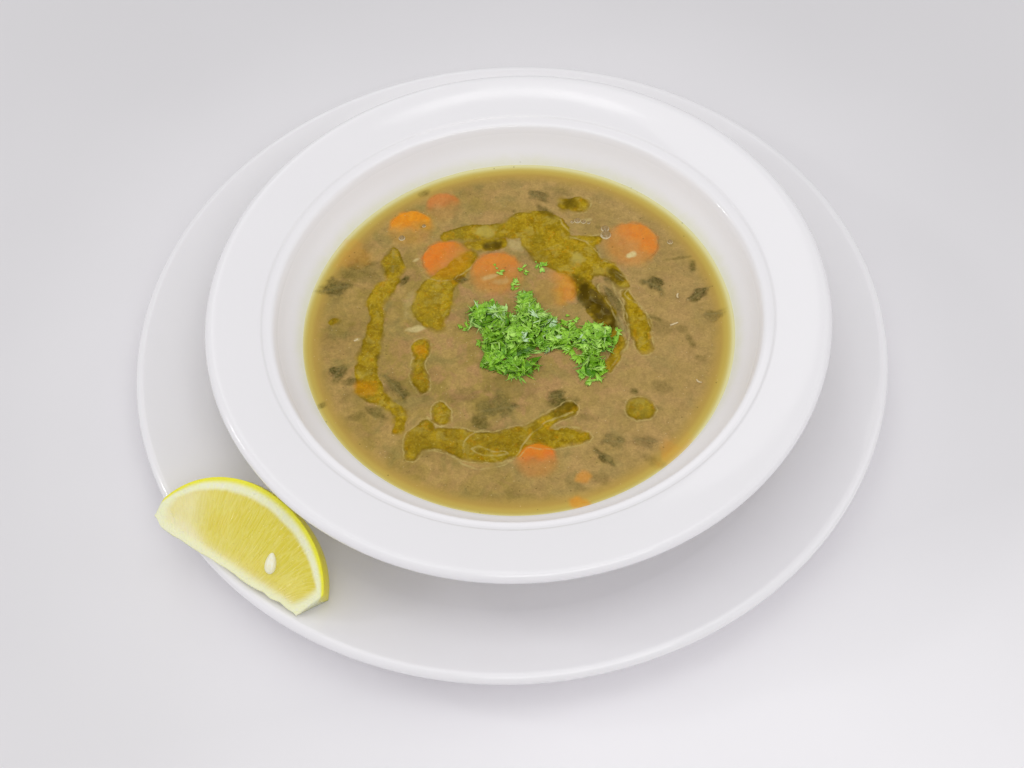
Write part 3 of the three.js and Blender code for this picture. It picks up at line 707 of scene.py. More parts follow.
def food_colour(look):
    """The colour at the soup's level: broth, then leaf, carrot, smears, oil with painted shade and glints,
    and painted highlights on edges of fat.
    """
    fine, grainy, patchy = look.noise(1.2, 3, 0.6), look.noise(0.9, 4, 0.7), look.noise(2.7, 3, 0.6)
    shade, orange, pale = look.value("shade"), look.value("orange"), look.value("pale")
    leaf_tint = patchy.ease(0.3, 0.7).mix(seen(66, 60, 22), seen(104, 95, 48))
    colour = (shade * grainy.ease(0.3, 0.7, 1.15, 0.6)).mix(broth_colour(look), leaf_tint)
    carrot_tint = patchy.ease(0.35, 0.65).mix(seen(212, 130, 22), seen(224, 148, 34))
    carrot_tint = look.value("red").mix(carrot_tint, seen(210, 104, 46))
    colour = (orange * grainy.ease(0.25, 0.75, 1.1, 0.82)).mix(colour, carrot_tint)
    colour = (pale * fine.ease(0.25, 0.6, 0.5, 1)).mix(colour, seen(204, 188, 132))
    colour = specks(look, colour, 2.1, 1, 0.2, 0.1, 0.5, seen(92, 80, 42))
    colour = specks(look, colour, 1.7, 1.13, 0.17, 0.16, 0.3, seen(222, 205, 160))
    # Oil
    ragged = (look.noise(1.3, 3, 0.65) - 0.5) * 1.3
    oil = look.value("oil") + ragged
    blur = look.noise(6, 2).ease(0.35, 0.65, 0.18, 0.8) * orange.ease(0.3, 0.75, 1, 0.2)
    inside = (oil * blur).ease(0.35, -0.35)
    tint = look.noise(3.6, 3, 0.6, 0.6).ease(0.3, 0.7).mix(seen(132, 106, 20), seen(168, 140, 34))
    tint = look.noise(7, 2, 0.6).ease(0.5, 0.72, 0, 0.7).mix(tint, seen(124, 106, 26))
    tint = look.noise(4.2, 2, 0.6, 1).ease(0.54, 0.7, 0, 0.5).mix(tint, seen(178, 124, 18))
    tint = look.noise(5.2, 3, 0.6, 0.5).ease(0.5, 0.66, 0, 0.6).mix(tint, seen(167, 146, 64))
    tint = fine.ease(0.5, 0.72, 0, 0.45).mix(tint, seen(184, 158, 50))
    tint = tint.brightened(grainy.ease(0.3, 0.7, 0.91, 1.14))
    # Painted shade along the inside of each pool's edge
    edge = oil.ease(-1.6, -0.1) * look.noise(5, 2).ease(0.35, 0.65, 0.1, 0.8)
    tint = (edge * orange.ease(0.05, 0.5, 1, 0.2)).mix(tint, seen(112, 92, 20))
    tint = (shade * 0.85).mix(tint, seen(76, 61, 8))
    tint = (orange * 0.75).mix(tint, seen(202, 128, 18))
    tint = (pale * 0.8).mix(tint, seen(178, 162, 84))
    # Pale specks in the oil are painted glints
    tint = specks(look, tint, 1.3, 1.1, 0.2, 0.14, 0.5, seen(204, 182, 96))
    colour = inside.mix(colour, tint)
    # Thin edges of fat: pale lines of painted highlight on the meniscus
    broken = look.noise(3.4, 3, 0.6).ease(0.36, 0.62, 0.1, 0.62)
    outline = look.value("outline") + ragged
    ring = outline.ease(0, 0.3) * outline.ease(0.95, 0.5) * oil.ease(-0.1, 0.1)
    colour = (ring * broken).mix(colour, seen(182, 162, 100))
    return (look.value("film").ease(0.55, 0.1) * broken).mix(colour, seen(184, 166, 104)), inside


def soup_material():
    """Broth and oil, with a faint ripple. The oil is the smoother of the two."""
    look = Look("soup")
    colour, inside = food_colour(look)
    ripple = look.bump(look.noise(1.1, 3, 0.6), 0.1, 0.5)
    ripple = look.bump(look.noise(5, 2), 0.25, 0.5, ripple)
    return look.finish(colour, inside.ease(0, 1, 0.34, 0.16), ripple, Specular_IOR_Level=0.06)


def cool_white(value, green):
    """A slightly cool white at a brightness, with its share of green."""
    return (value, value * green, value * 1.01, 1)


def glaze_material(name, smeared):
    """White glazed porcelain, with a faint green-yellow smear over the soup's edge and painted light on the
    inside wall.
    """
    look = Look(name)
    colour = look.noise(60, 3, 0.6).mix(cool_white(0.89, 0.982), cool_white(0.91, 0.982))
    roughness = look.noise(25, 3).ease(0.3, 0.7, 0.06, 0.1)
    if smeared:
        reach = look.z + look.noise(14, 4, 0.65, 1.2) * -7
        smear = reach.ease(36.5, 29) * look.z.ease(46, 34) * look.y.ease(-75, -20, 0.15, 0.55)
        colour = smear.mix(colour, (0.78, 0.79, 0.52, 1))
        distance, chance = look.cells(5)
        speck = distance.ease(0.09, 0.05) * chance.ease(0.8, 0.82) * look.z.ease(40, 35)
        colour = (speck * 0.4).mix(colour, (0.45, 0.42, 0.25, 1))
        # The inside wall is painted lighter (painted light) and is less shiny, most of all near the viewer
        inside = look.value("inside")
        front = inside * look.y.ease(-35, -75)
        colour = (inside * look.z.ease(34, 40)).mix(colour, cool_white(0.93, 0.982))
        colour = (front * look.z.ease(33.5, 36)).mix(colour, cool_white(0.99, 0.982))
        roughness = roughness + inside * look.z.ease(46, 43) * 0.3 + front * 0.5
    return look.finish(colour, roughness, look.bump(look.noise(14, 1), 0.02, 0.2), Specular_IOR_Level=0.5)


def carrot_material():
    """Cooked carrot seen through a film of broth, with fine rays and a darker core ring."""
    look = Look("carrot")
    colour, _ = food_colour(look)
    share, orange = look.value("share"), look.value("orange")
    clear = orange * look.value("oil").ease(0, 1)
    rays = look.noise(1, 3, 0.6, vector=look.vector(look.value("turn") * 9, share, look.value("tone")))
    colour = (clear * rays.ease(0.4, 0.7, 0, 0.16)).mix(colour, seen(232, 158, 66))
    core = share.ease(0.34, 0.43) * share.ease(0.54, 0.44)
    colour = (core * clear * 0.14).mix(colour, seen(196, 100, 24))
    rim = share.ease(0.86, 0.97) * orange.ease(0.7, 0.95)
    colour = (rim * 0.3).mix(colour, seen(228, 122, 22))
    # Pale specks painted as glints on the wet carrot
    colour = specks(look, colour, 1.9, 1, 0.2, 0.2, 0.3, seen(240, 200, 140))
    return look.finish(colour, 0.3, look.bump(look.noise(0.8, 3, 0.6), 0.1, 0.5), Specular_IOR_Level=0.12)


def chard_material():
    """Cooked chard leaf: grey-green to nearly black, veined, with a film of broth over it."""
    look = Look("chard")
    colour, _ = food_colour(look)
    colour = (look.value("vein").ease(0.1, 0) * 0.3).mix(colour, seen(140, 128, 80))
    return look.finish(colour, 0.33, look.bump(look.noise(1.4, 3, 0.6), 0.2, 0.6), Specular_IOR_Level=0.12)


def parsley_material():
    """Fresh chopped parsley: bright green, each shred its own tone, paler stems."""
    look = Look("parsley")
    tone = look.value("tone")
    colour = tone.ease(0, 0.5).mix(seen(90, 138, 26), seen(142, 194, 54))
    colour = tone.ease(0.45, 1).mix(colour, seen(184, 226, 112))
    colour = look.noise(8, 2).ease(0.5, 0.7, 0, 0.4).mix(colour, seen(84, 160, 40))
    # A few of the palest shreds are painted near white: painted glints
    colour = tone.ease(0.9, 0.97, 0, 0.8).mix(colour, seen(190, 218, 178))
    colour = colour.brightened(look.noise(1.1, 2).ease(0.3, 0.7, 0.8, 1.16))
    colour = look.value("stem").mix(colour, seen(186, 214, 132))
    return look.finish(colour, 0.3, look.bump(look.noise(0.7, 2), 0.12, 0.6), Specular_IOR_Level=0.3)


def lemon_flesh(look, edges, tint, along, out):
    """The flesh: yellow vesicles, paler between them, at the core and at the blossom end."""
    fine = look.noise(0.8, 3, 0.6, vector=look.vector(along, out * 0.1, 0))
    colour = tint.mix(seen(215, 202, 86), seen(220, 207, 102))
    colour = look.noise(14, 2).ease(0.35, 0.65, 0, 0.6).mix(colour, seen(214, 196, 66))
    colour = (out.ease(8, 16) * along.ease(-14, 4) * 0.8).mix(colour, seen(211, 197, 62))
    colour = edges.ease(0.14, 0, 0, 0.2).mix(colour, seen(234, 228, 150))
    colour = fine.ease(0.52, 0.75, 0, 0.28).mix(colour, seen(236, 228, 140))
    paler_share = out.ease(9, 1, 0, 0.75) + along.ease(-14, -32, 0, 0.7)
    return paler_share.ease(0, 1.2, 0, 0.8).mix(colour, seen(232, 226, 188))


def lemon_material():
    """Lemon: pored yellow peel, a pale pith band and juicy flesh in long vesicles."""
    look = Look("lemon")
    depth, along, out = look.value("depth"), look.value("fan"), look.value("out")
    skin = look.value("skin")
    strands = look.vector(along, out * 0.16, 0)
    _, tint = look.cells(1.5, strands)
    edges = look.cell_edges(1.5, strands)
    pores, _ = look.cells(1.5)
    pith = look.noise(2.5, 3).mix(seen(227, 228, 178), seen(236, 235, 208))
    peel_cut = look.noise(2, 3).mix(seen(228, 222, 40), seen(232, 226, 70))
    wobble = depth + (look.noise(5, 2) - 0.5) * 1.4
    colour = wobble.ease(PITH_THICKNESS - 1.4, PITH_THICKNESS + 0.8).mix(
        pith, lemon_flesh(look, edges, tint, along, out))
    colour = depth.ease(PEEL_THICKNESS + 1.9, PEEL_THICKNESS - 0.4).mix(colour, peel_cut)
    peel = look.noise(12, 2).mix(seen(228, 212, 24), seen(232, 222, 44))
    colour = skin.mix(colour, peel.brightened(pores.ease(0, 0.4, 0.94, 1)))
    colour = (look.value("core") * 0.85).mix(colour, seen(236, 234, 196))
    dimples = look.bump(pores.ease(0, 0.35), 0.25, 0.5, look.bump(edges.ease(0, 0.3), 0.16, 0.5))
    return look.finish(colour, skin.ease(0, 1, 0.22, 0.36), dimples, Specular_IOR_Level=0.5,
                       Subsurface_Weight=0.25, Subsurface_Radius=(3.0, 2.6, 0.6), Subsurface_Scale=MM)


def seed_material():
    """Ivory seed coat with faint lengthwise lines."""
    look = Look("seed")
    lines = look.noise(0.7, 3, 0.6, vector=look.scaled(look.place, (1, 0.3, 1)))
    colour = lines.ease(0.35, 0.65).mix(seen(232, 226, 190), seen(244, 240, 214))
    return look.finish(colour, 0.3, look.bump(lines, 0.1, 0.4), Specular_IOR_Level=0.5)


def bubble_material():
    """A thin bubble of broth: the broth's colour in the middle, with a pale ring of painted highlight round
    its foot.
    """
    look = Look("bubble")
    colour = look.value("height").ease(0.6, 0.2).mix(seen(146, 120, 72), seen(216, 204, 168))
    colour = colour.brightened(look.noise(0.6, 2).ease(0.3, 0.7, 0.9, 1.1))
    return look.finish(colour, 0.05, look.bump(look.noise(0.8, 1), 0.02, 0.2), Specular_IOR_Level=0.6)


def husk_material():
    """Pale cooked husk."""
    look = Look("husk")
    colour = look.noise(0.9, 3).mix(seen(190, 168, 122), seen(214, 198, 160))
    return look.finish(colour, 0.35, look.bump(look.noise(0.5, 2), 0.08, 0.4), Specular_IOR_Level=0.2)


def floor_material():
    """The plain pale table, with painted light: a little brighter towards the viewer and round the plate."""
    look = Look("floor")
    away = look.length(look.x, look.y)
    nearer = look.length((look.x - 70) * 0.75, look.y + 205)
    # Painted light: pools of light round the plate and towards the viewer, over a table painted lighter
    # towards the viewer
    painted_glow = away.ease(245, 60, 0, 0.95).larger(nearer.ease(200, 40, 0, 0.88))
    colour = look.y.ease(250, -260).mix(cool_white(0.75, 0.98), cool_white(0.8, 0.98))
    colour = painted_glow.mix(colour, cool_white(0.97, 0.98))
    colour = colour.brightened(look.noise(160, 2, 0.5).ease(0.3, 0.7, 0.985, 1.015))
    return look.finish(colour, 0.6, look.bump(look.noise(1.5, 2), 0.02, 0.2), Specular_IOR_Level=0.2)


# Dishes


def rim_height(radius, outer_radius, roll_height, roll, degrees):
    """The height of a sloping rim, on the line that meets its rolled edge."""
    slope = math.radians(degrees)
    touch_radius = outer_radius - roll - roll * math.sin(slope)
    touch_height = roll_height + roll * math.cos(slope)
    return touch_height - (touch_radius - radius) * math.tan(slope)


def plate_rim_height(radius):
    """The height of the underplate's rim."""
    return rim_height(radius, PLATE_RADIUS, PLATE_ROLL_HEIGHT, PLATE_ROLL, PLATE_SLOPE)


def bowl_rim_height(radius):
    """The height of the bowl's rim."""
    return rim_height(radius, BOWL_RADIUS, BOWL_ROLL_HEIGHT, BOWL_ROLL, BOWL_RIM_SLOPE)


def plate_profile():
    """The underplate's section, from under its middle round to the top of its well."""
    foot_inner = PLATE_FOOT_RADIUS - PLATE_FOOT_WIDTH
    under = PLATE_BEND_RADIUS + 8
    over = PLATE_BEND_RADIUS + 6
    foot = rounded([
        (0, PLATE_FOOT_HEIGHT, 0),
        (foot_inner - 1, PLATE_FOOT_HEIGHT, 0.8),
        (foot_inner, 0, 0.5),
        (PLATE_FOOT_RADIUS, 0, 0.5),
        (PLATE_FOOT_RADIUS + 2, PLATE_FOOT_HEIGHT, 0.8),
        (PLATE_BEND_RADIUS - 12, 2, 0),
    ])
    return [
        *foot[:-1],
        *bend_points((PLATE_BEND_RADIUS - 12, 2), (PLATE_BEND_RADIUS - 3, 2.6),
                     (under, plate_rim_height(under) - PLATE_THICKNESS), 14),
        *roll_points(PLATE_RADIUS, PLATE_ROLL_HEIGHT, PLATE_ROLL, -80, 90 + PLATE_SLOPE, 22),
        *[(radius, plate_rim_height(radius)) for radius in (141, 135, 129, 123)],
        *bend_points((over, plate_rim_height(over)), (PLATE_WELL_RADIUS + 7, PLATE_WELL_TOP),
                     (PLATE_WELL_RADIUS, PLATE_WELL_TOP), 20),
        (60, PLATE_WELL_TOP),
        (0, PLATE_WELL_TOP),
    ]


def bowl_wall():
    """The bowl's inside, from its flat base up to the ledge under the rim."""
    return spline([
        (40, BOWL_BASE_TOP),
        (62, BOWL_BASE_TOP + 3.6),
        (76, 23.4),
        (SOUP_RADIUS, SOUP_LEVEL),
        (90.2, 40),
        (BOWL_LEDGE_RADIUS, BOWL_LEDGE_HEIGHT),
    ], 8)


def bowl_profile():
    """The bowl's section, from under its middle round to the top of its base."""
    foot_inner = BOWL_FOOT_RADIUS - BOWL_FOOT_WIDTH
    under = BOWL_BASE_TOP - BOWL_BASE_THICKNESS
    wall = bowl_wall()
    outward = BOWL_WALL_THICKNESS * math.sqrt(0.5)
    outside = [(radius + outward, height - outward) for radius, height in wall[15:36]]
    under_rim = BOWL_RIM_INNER_RADIUS + 6
    edge = BOWL_EDGE_RADIUS
    foot = rounded([
        (0, under, 0),
        (foot_inner - 0.8, under, 1),
        (foot_inner, BOWL_FOOT_BOTTOM, 0.6),
        (BOWL_FOOT_RADIUS, BOWL_FOOT_BOTTOM, 0.6),
        (BOWL_FOOT_RADIUS + 1.5, BOWL_FOOT_BOTTOM + BOWL_FOOT_HEIGHT, 1.4),
        (*outside[0], 0),
    ])
    rim = rounded([
        (*outside[-1], 0),
        (under_rim, bowl_rim_height(under_rim) - BOWL_RIM_THICKNESS, 4),
        (BOWL_RADIUS - BOWL_ROLL - 4, BOWL_ROLL_HEIGHT - BOWL_ROLL - 0.3, 0),
    ])
    crown = []
    for share in np.linspace(0.94, 0.3, 8):
        radius = edge + share * (BOWL_RADIUS - BOWL_ROLL - edge)
        crown.append((radius, bowl_rim_height(radius) + 4 * BOWL_RIM_CROWN * share * (1 - share)))
    step = rounded([
        (edge + 3, bowl_rim_height(edge + 3) + 2 * BOWL_RIM_CROWN * 0.28, 0),
        (edge, bowl_rim_height(edge), 0.5),
        (edge - 0.7, bowl_rim_height(edge) - BOWL_EDGE_DROP, 0.4),
        (BOWL_LEDGE_RADIUS + 0.3, BOWL_LEDGE_HEIGHT + 0.15, 1.1),
        (*wall[-3], 0),
    ], 7)
    return [
        *foot[:-1],
        *outside,
        *rim[1:],
        *roll_points(BOWL_RADIUS, BOWL_ROLL_HEIGHT, BOWL_ROLL, -88, 90 + BOWL_RIM_SLOPE, 22),
        *crown,
        *step,
        *[tuple(point) for point in wall[-4::-1]],
        (20, BOWL_BASE_TOP),
        (0, BOWL_BASE_TOP),
    ]


def make_dishes():
    """The bowl and the underplate."""
    points, faces = lathe(bowl_profile(), LATHE_SIDES, (BOWL_X, BOWL_Y))
    radius = np.hypot(points[:, 0] - BOWL_X, points[:, 1] - BOWL_Y)
    wall = np.array(bowl_wall())
    inside = (points[:, 2] > np.interp(radius, wall[:, 0], wall[:, 1]) - 1) & (radius < 97)
    make_piece("bowl_glazed", points, faces, glaze_material("bowl_glaze", True), ["bowl"],
               {"inside": inside.astype(float)})
    points, faces = lathe(plate_profile(), LATHE_SIDES)
    make_piece("underplate_glazed", points, faces, glaze_material("plate_glaze", False),
               ["underplate"])


# Soup


def stroke_distance(x, y, strokes, soft):
    """Distance to the edge of a union of strokes, less than 0 inside, corners softened."""
    total = np.zeros_like(x)
    for stroke in strokes:
        curve = spline(stroke, 5)
        nearest = np.full_like(x, 1e9)
        for start, end in zip(curve[:-1], curve[1:]):
            step = end[:2] - start[:2]
            share = ((x - start[0]) * step[0] + (y - start[1]) * step[1]) / max(step @ step, 1e-9)
            share = np.clip(share, 0, 1)
            away = np.hypot(x - start[0] - share * step[0], y - start[1] - share * step[1])
            nearest = np.minimum(nearest, away - (start[2] + share * (end[2] - start[2])))
        total += np.exp(-np.clip(nearest, -30, 30) / soft)
    return -soft * np.log(total + 1e-30)


def along_and_across(x, y, middle_x, middle_y, bearing):
    """How far each point lies from a middle along a bearing in degrees, and across it."""
    turn = math.radians(bearing)
    along = (x - middle_x) * math.cos(turn) + (y - middle_y) * math.sin(turn)
    across = (y - middle_y) * math.cos(turn) - (x - middle_x) * math.sin(turn)
    return along, across


def patch_strength(x, y, patches, ragged, seed):
    """The strongest of several ragged oval patches at each point."""
    strongest = np.zeros_like(x)
    edge = 0.3 * bumps(x, y, ragged, seed) + 0.18 * bumps(x, y, ragged / 2.3, seed + 1)
    for middle_x, middle_y, length, width, bearing, strength in patches:
        along, across = along_and_across(x, y, middle_x, middle_y, bearing)
        reach = np.hypot(2 * along / length, 2 * across / width) + edge
        strongest = np.maximum(strongest, strength * smoothstep(1.4, 0.6, reach))
    return strongest


def carrot_share(x, y, carrot):
    """How far each point is towards a slice's edge, and how far towards its high side."""
    middle_x, middle_y, radius, _, bearing = carrot[:5]
    high, _ = along_and_across(x, y, middle_x, middle_y, bearing)
    return np.hypot(x - middle_x, y - middle_y) / radius, high / radius


def carrot_values(x, y):
    """How orange each point looks, over the slices and the sunk carrot, and how red the orange is."""
    sunk = [(a, b, 2 * r, 2 * r, 0, strength) for a, b, r, strength in SUNK_CARROTS]
    strongest = patch_strength(x, y, sunk, 4, 31)
    red = np.full_like(x, 0.15)
    for carrot in CARROTS:
        low, full, redness = carrot[6:]
        share, high = carrot_share(x, y, carrot)
        share = share + 0.06 * bumps(x, y, 3, 5) + 0.04 * bumps(x, y, 1.4, 8)
        edge = 0.14 + 0.16 * smoothstep(0.5, -0.4, high)
        strength = low + (full - low) * smoothstep(-0.35, 0.6, high + 0.15 * bumps(x, y, 3, 11))
        strength = strength * smoothstep(1 + edge, 1 - edge, share)
        red = np.where(strength > strongest, redness, red)
        strongest = np.maximum(strongest, strength)
    return strongest, red


def leaf_strength(x, y):
    """How dark each point looks, over the leaves at the surface and those that are sunk."""
    strongest = patch_strength(x, y, SUNK_LEAVES, 2.6, 21)
    for middle_x, middle_y, length, width, bearing, bow, corners, dark in LEAVES:
        along, across = along_and_across(x, y, middle_x, middle_y, bearing)
        across = across - bow * (1 - np.clip(2 * along / length, -1.5, 1.5)**2)
        angle = np.arctan2(2 * across / width, 2 * along / length)
        share = np.hypot(2 * across / width, 2 * along / length) / leaf_edge(angle, corners, middle_x)
        share = share + 0.22 * bumps(x, y, 2, 23) + 0.14 * bumps(x, y, 1, 24)
        strongest = np.maximum(strongest, dark * smoothstep(1.25, 0.6, share))
    return strongest * (1 + 0.25 * bumps(x, y, 2.6, 27))


def food_values(x, y):
    """What lies at each point of the soup's level, as the values that food_colour reads."""
    wave_x = x + 0.8 * bumps(x, y, 4, 1) + 0.25 * bumps(x, y, 1.7, 2)
    wave_y = y + 0.8 * bumps(x, y, 4, 3) + 0.25 * bumps(x, y, 1.7, 4)
    edged = [OIL_STROKES[name] for name in EDGED_POOLS]
    lines = [[(a, b, 0) for a, b in line] for line in FILM_LINES.values()]
    pale_x, pale_y = x + 0.4 * bumps(x, y, 2.4, 12), y + 0.4 * bumps(x, y, 2.4, 13)
    orange, red = carrot_values(x, y)
    return {
        "oil": np.clip(stroke_distance(wave_x, wave_y, list(OIL_STROKES.values()), 0.35), -12, 6),
        "outline": np.clip(stroke_distance(wave_x, wave_y, edged, 0.35), -1, 6),
        "film": np.clip(stroke_distance(pale_x, pale_y, lines, 0.05), 0, 6),
        "shade": leaf_strength(x, y),
        "orange": orange,
        "red": red,
        "pale": patch_strength(x, y, PALE_PATCHES, 2.4, 41),
    }


def soup_points():
    """The soup's level surface, an even net of points from its middle to its edge."""
    sides = np.linspace(-1, 1, SOUP_GRID)
    a, b = np.meshgrid(sides, sides)
    wide = np.abs(a) > np.abs(b)
    radius = np.where(wide, a, b)
    safe = np.where(np.abs(radius) < 1e-9, 1, radius)
    angle = np.where(wide, np.pi / 4 * b / safe, np.pi / 2 - np.pi / 4 * a / safe)
    reach = SOUP_RADIUS + SOUP_TUCK
    return BOWL_X + reach * radius * np.cos(angle), BOWL_Y + reach * radius * np.sin(angle)


def edge_loop(size):
    """The indices round a square net of points, counter-clockwise."""
    low = list(range(size))
    right = [k * size + size - 1 for k in range(1, size)]
    high = [(size - 1) * size + k for k in range(size - 2, -1, -1)]
    left = [k * size for k in range(size - 2, 0, -1)]
    return low + right + high + left


def make_soup():
    """The soup: a fine surface with oil and a raised edge, over a plain body."""
    x, y = (grid.ravel() for grid in soup_points())
    radius = np.hypot(x - BOWL_X, y - BOWL_Y)
    values = food_values(x, y)
    z = SOUP_LEVEL + 0.08 * bumps(x, y, 14, 6) + 0.04 * bumps(x, y, 4, 7)
    z = z + OIL_HEIGHT * (1 - np.exp(-np.clip(-values["oil"], 0, None) / 1.2))
    z = z + MENISCUS_HEIGHT * np.exp(-np.clip(SOUP_RADIUS - radius, 0, None) / MENISCUS_WIDTH)
    loop = edge_loop(SOUP_GRID)
    angle = np.arctan2(y[loop] - BOWL_Y, x[loop] - BOWL_X)
    below = [(r - 0.3, h + 0.3) for r, h in bowl_wall()[::-4] if h < SOUP_LEVEL - 1]
    rings = [np.column_stack([x, y, z])]
    faces = grid_faces(SOUP_GRID, SOUP_GRID)
    before = loop
    count = len(x)
    for ring_radius, height in below:
        rings.append(np.column_stack([
            BOWL_X + ring_radius * np.cos(angle),
            BOWL_Y + ring_radius * np.sin(angle),
            np.full(len(loop), height),
        ]))
        ring = range(count, count + len(loop))
        faces += band_faces(before, ring)
        before = ring
        count += len(loop)
    rings.append([[BOWL_X, BOWL_Y, below[-1][1]]])
    faces += fan_faces(count, before[::-1])
    spare = count + 1 - len(x)
    plain = {"oil": 6, "outline": 6, "film": 6}
    values = {key: np.append(row, np.full(spare, plain.get(key, 0))) for key, row in values.items()}
    make_piece("soup_surface", np.vstack(rings), faces, soup_material(), ["soup"], values)


# Garnish in the soup


def make_carrots():
    """The carrot slices, rounded discs that lean in the soup."""
    heap = Heap()
    half = CARROT_THICKNESS / 2
    for index, carrot in enumerate(CARROTS):
        middle_x, middle_y, radius, lean, bearing, lift = carrot[:6]
        profile = rounded([
            (0, -half, 0),
            (radius, -half, 0.9),
            (radius, half, 0.9),
            (0, half, 0),
        ], 6)
        inner = [(radius * share, half) for share in np.linspace(0.86, 0.03, CARROT_RINGS)]
        points, faces = lathe([*profile[:-1], *inner, profile[-1]], CARROT_SIDES)
        angle = np.arctan2(points[:, 1], points[:, 0])
        away = np.hypot(points[:, 0], points[:, 1])
        lobes = 0.025 * np.sin(2 * angle + middle_x) + 0.015 * np.sin(3 * angle + middle_y)
        ripple = 0.006 * np.sin(9 * angle + index) + 0.004 * np.sin(14 * angle)
        points[:, :2] *= (1 + lobes + ripple)[:, None]
        points[:, 2] += np.where(points[:, 2] > 0, 0.12 * bumps(points[:, 0], points[:, 1], 3, index), 0)
        axis = Vector((math.sin(math.radians(bearing)), -math.cos(math.radians(bearing)), 0))
        turn = np.array(Matrix.Rotation(math.radians(lean), 3, axis))
        points = points @ turn.T + [middle_x, middle_y, SOUP_LEVEL + lift - half]
        heap.add(points, faces, share=away / radius, turn=angle, tone=float(index),
                 **food_values(points[:, 0], points[:, 1]))
    nodes = [f"carrot_{k + 1}" for k in range(len(CARROTS))]
    heap.piece("carrot_slices", carrot_material(), "carrot", nodes)


def leaf_edge(angle, corners, phase):
    """The edge of a torn leaf as a share of its half length and half width."""
    torn = 0.13 * np.cos(corners * angle + phase)
    ragged = 0.05 * np.sin(5 * angle + 2 * phase) + 0.022 * np.sin(17 * angle + phase)
    return 0.92 + torn + ragged


def make_chard():
    """The chard leaves, thin and wavy, torn at their edges."""
    heap = Heap()
    shares = np.linspace(0, 1, LEAF_RINGS + 1)[1:]
    angles = np.linspace(0, 2 * np.pi, LEAF_SIDES, endpoint=False)
    share, angle = (grid.ravel() for grid in np.meshgrid(shares, angles, indexing="ij"))
    share, angle = np.append(share, 0), np.append(angle, 0)
    for middle_x, middle_y, length, width, bearing, bow, corners, _ in LEAVES:
        turn = math.radians(bearing)
        reach = share * leaf_edge(angle, corners, middle_x)
        along = reach * length / 2 * np.cos(angle)
        across = reach * width / 2 * np.sin(angle) + bow * (1 - (2 * along / length)**2)
        x = middle_x + along * math.cos(turn) - across * math.sin(turn)
        y = middle_y + along * math.sin(turn) + across * math.cos(turn)
        wave = 0.22 * np.sin(0.7 * along + middle_x) + 0.18 * np.cos(0.9 * across + middle_y)
        droop = -0.45 * smoothstep(0.75, 1.0, share)
        crease = 0.12 * bumps(x, y, 1.6, 9)
        z = SOUP_LEVEL + LEAF_LIFT + 0.7 * wave + droop + crease
        top = np.column_stack([x, y, z])
        bottom = top - [0, 0, LEAF_THICKNESS]
        count = len(top)
        outer = range(count - 1 - LEAF_SIDES, count - 1)
        faces = fan_faces(count - 1, range(LEAF_SIDES))
        faces += fan_faces(2 * count - 1, range(count, count + LEAF_SIDES)[::-1])
        faces += band_faces(outer, [corner + count for corner in outer])
        for a, b, c, d in grid_faces(LEAF_RINGS, LEAF_SIDES, closed=True):
            faces.append((a, d, c, b))
            faces.append((a + count, b + count, c + count, d + count))
        ribs = np.abs(np.sin(1.6 * (along - 0.9 * np.abs(across)))) + 0.1
        vein = np.minimum(np.abs(across) / width, 0.2 * ribs)
        values = {key: np.tile(row, 2) for key, row in food_values(x, y).items()}
        heap.add(np.vstack([top, bottom]), faces, vein=np.tile(vein, 2), **values)
    nodes = [f"chard_{k + 1}" for k in range(len(LEAVES))]
    heap.piece("chard_leaves", chard_material(), "chard", nodes)


# Parsley


def heap_height(x, y):
    """The height of the parsley mounds over the soup at each point."""
    height = np.zeros_like(x)
    for middle_x, middle_y, half_x, half_y, top, _ in MOUNDS:
        reach = np.hypot((x - middle_x) / half_x, (y - middle_y) / half_y)
        height = np.maximum(height, top * np.clip(1 - reach**2.2, 0, 1))
    return height


def leaflet(length, spread, teeth, draw):
    """A fan-shaped blade with pointed lobes, curled, with its stem end at the origin."""
    count = 2 * teeth + 1
    angles = np.radians(np.linspace(-spread, spread, count))
    reach = np.where(np.arange(count) % 2, 1.0, 0.66) * (1 - 0.3 * np.linspace(-1, 1, count)**2)
    reach = length * reach * (1 + draw.uniform(-0.1, 0.1, count))
    x = np.concatenate([reach * np.cos(angles), 0.55 * reach * np.cos(angles), [0]])
    y = np.concatenate([reach * np.sin(angles), 0.5 * reach * np.sin(angles), [0]])
    curl, cup, fold = draw.uniform(-0.12, 0.2), draw.uniform(-0.25, 0.35), draw.uniform(-0.35, 0.35)
    z = curl * x * x / length + cup * y * y / length + fold * np.abs(y)
    top = np.column_stack([x, y, z])
    bottom = top - [0, 0, SHRED_THICKNESS]
    size, root = len(top), 2 * count
    faces = []
    for k in range(count - 1):
        faces.append((k, k + 1, count + k + 1, count + k))
        faces.append((count + k, count + k + 1, root))
        faces.append((size + k, size + count + k, size + count + k + 1, size + k + 1))
        faces.append((size + count + k, size + root, size + count + k + 1))
        faces.append((k, size + k, size + k + 1, k + 1))
    for one, other in ((0, count), (count, root), (root, 2 * count - 1), (2 * count - 1, count - 1)):
        faces.append((one, other, size + other, size + one))
    return np.vstack([top, bottom]), faces


def sprig(length, draw):
    """Three blades that spread from one point."""
    parts, faces, count = [], [], 0
    for bearing, share in ((-55, 0.85), (0, 1.0), (55, 0.85)):
        blade, blade_faces = leaflet(length * share, draw.uniform(24, 36), int(draw.integers(2, 4)), draw)
        turn = np.array(Matrix.Rotation(math.radians(bearing + draw.uniform(-12, 12)), 3, "Z"))
        parts.append((blade + [0.08, 0, 0]) @ turn.T)
        faces += [tuple(corner + count for corner in face) for face in blade_faces]
        count += len(blade)
    return np.vstack(parts), faces


